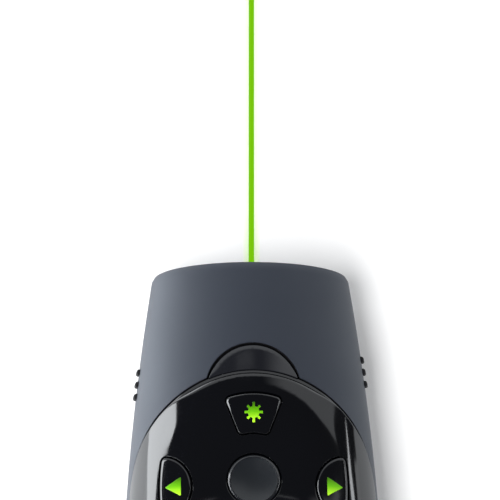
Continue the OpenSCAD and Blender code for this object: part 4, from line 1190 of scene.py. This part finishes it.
def add_drape():
    """A dark drape over the stage, open low at the back: black gloss reflects it wherever no card shows."""
    bm = bmesh.new()
    bmesh.ops.create_cube(bm, size=1.0)
    bmesh.ops.scale(bm, vec=DRAPE_SIZE, verts=bm.verts)
    bmesh.ops.translate(bm, vec=DRAPE_MIDDLE, verts=bm.verts)
    bmesh.ops.bisect_plane(bm, geom=bm.verts[:] + bm.edges[:] + bm.faces[:],
                           plane_co=(0, 0, DRAPE_OPENING), plane_no=(0, 0, 1))
    bm.normal_update()
    underside = [f for f in bm.faces if f.normal.z < -0.5]
    low_back = [f for f in bm.faces if f.normal.y < -0.5 and f.calc_center_median().z < DRAPE_OPENING]
    bmesh.ops.delete(bm, geom=underside + low_back, context="FACES")
    drape = stage_piece("drape", bm, glow_material("drape_dark", WHITE, DRAPE_DARK)[0])
    drape.visible_camera = drape.visible_shadow = drape.visible_diffuse = drape.visible_transmission = False


def add_front_wall():
    """A grey wall ahead of the nose, low on the left and high on the right, soft at its upper edges."""
    bm = flat_card([(x, FRONT_Y, z) for x, z in (
        (-1.1, 0.0), (1.02, 0.0), (1.02, 0.45), (1.05, 0.53), (1.1, 0.58), (1.2, 0.68), (1.18, 0.8),
        (1.1, 0.9), (1.03, 1.0), (0.98, 1.12), (0.05, 1.12), (0.0, 0.9), (-0.5, 0.9), (-0.62, 0.54),
        (-1.1, 0.45))])
    mat, tree, glow = glow_material("front_wall_light", CARD_TINT)
    x, _, z = places(tree)
    high = maths(tree, "MULTIPLY", fade(tree, z, 1.1, 0.96, high=FRONT_WALL_LIGHT), fade(tree, x, 0.08, 0.42))
    low = fade(tree, z, 0.86, 0.52, DRAPE_DARK, FRONT_WALL_LIGHT)
    tree.links.new(maths(tree, "MAXIMUM", low, high), glow.inputs["Strength"])
    wall = stage_piece("front_wall", bm, mat)
    wall.visible_camera = wall.visible_shadow = False


add_camera()
add_floor()
add_beam()
add_world()
add_drape()
add_front_wall()
emission_card("left_card", [(-SIDE_X, y, z) for y, z in (
    (0.285, 0.0), (0.285, 0.33), (0.265, 0.352), (0.24, 0.354), (0.226, 0.337), (0.218, 0.3), (0.209, 0.236),
    (0.19, 0.155), (-0.05, 0.155), (-0.3, 0.22), (-0.7, 0.26), (-0.7, 0.04), (-0.3, 0.04), (0.166, 0.045),
    (0.2, 0.0))], 6.6)
emission_card("left_low_card", [(-SIDE_X, y, z) for y, z in (
    (0.2, 0.0), (0.166, 0.045), (-0.3, 0.04), (-0.3, 0.0))], 2.95)
floor_card = emission_card("left_floor_card", [(x, y, LYING_Z) for x, y in (
    (-0.03, -0.3), (-0.03, 0.4), (-0.6, 0.4), (-0.6, -0.3))], 2.75)
# seen only in gloss: its light fades next to the object as a painted shadow of the floor
shade_card = emission_card("right_floor_card", [(x, y, LYING_Z) for x, y in (
    (0.025, -0.3), (0.6, -0.3), (0.6, 0.4), (0.025, 0.4))], 1.03, (0, -0.05, 0.045))
floor_card.visible_diffuse = shade_card.visible_diffuse = False
emission_card("right_strip", [(SIDE_X, y, z) for y, z in (
    (-0.25, 0.088), (0.164, 0.09), (0.178, 0.097), (0.202, 0.106), (0.218, 0.106), (0.228, 0.112),
    (0.219, 0.118), (0.204, 0.124), (0.181, 0.133), (0.166, 0.126), (-0.25, 0.122))], 4.25)
emission_card("right_low_strip", [(SIDE_X, y, z) for y, z in (
    (-0.25, 0.0), (0.19, 0.0), (0.19, 0.048), (-0.25, 0.05))], 1.15)
emission_card("window_sheen", [(x, FRONT_Y - 0.001, z) for x, z in (
    (-0.2, 0.9), (0.08, 0.9), (0.08, 0.935), (-0.2, 0.935))],
              0.8, (0, -0.2, -0.1), (0, 0.08, -0.02), (2, 0.9, 0.912), (2, 0.935, 0.922))
over = area_light("overhead", (-0.25, -0.3, 0.75), (-0.25, -0.3, 0.0), (0.32, 0.46), 8.8)
over.visible_glossy = False

bpy.context.scene.view_settings.view_transform = "Standard"
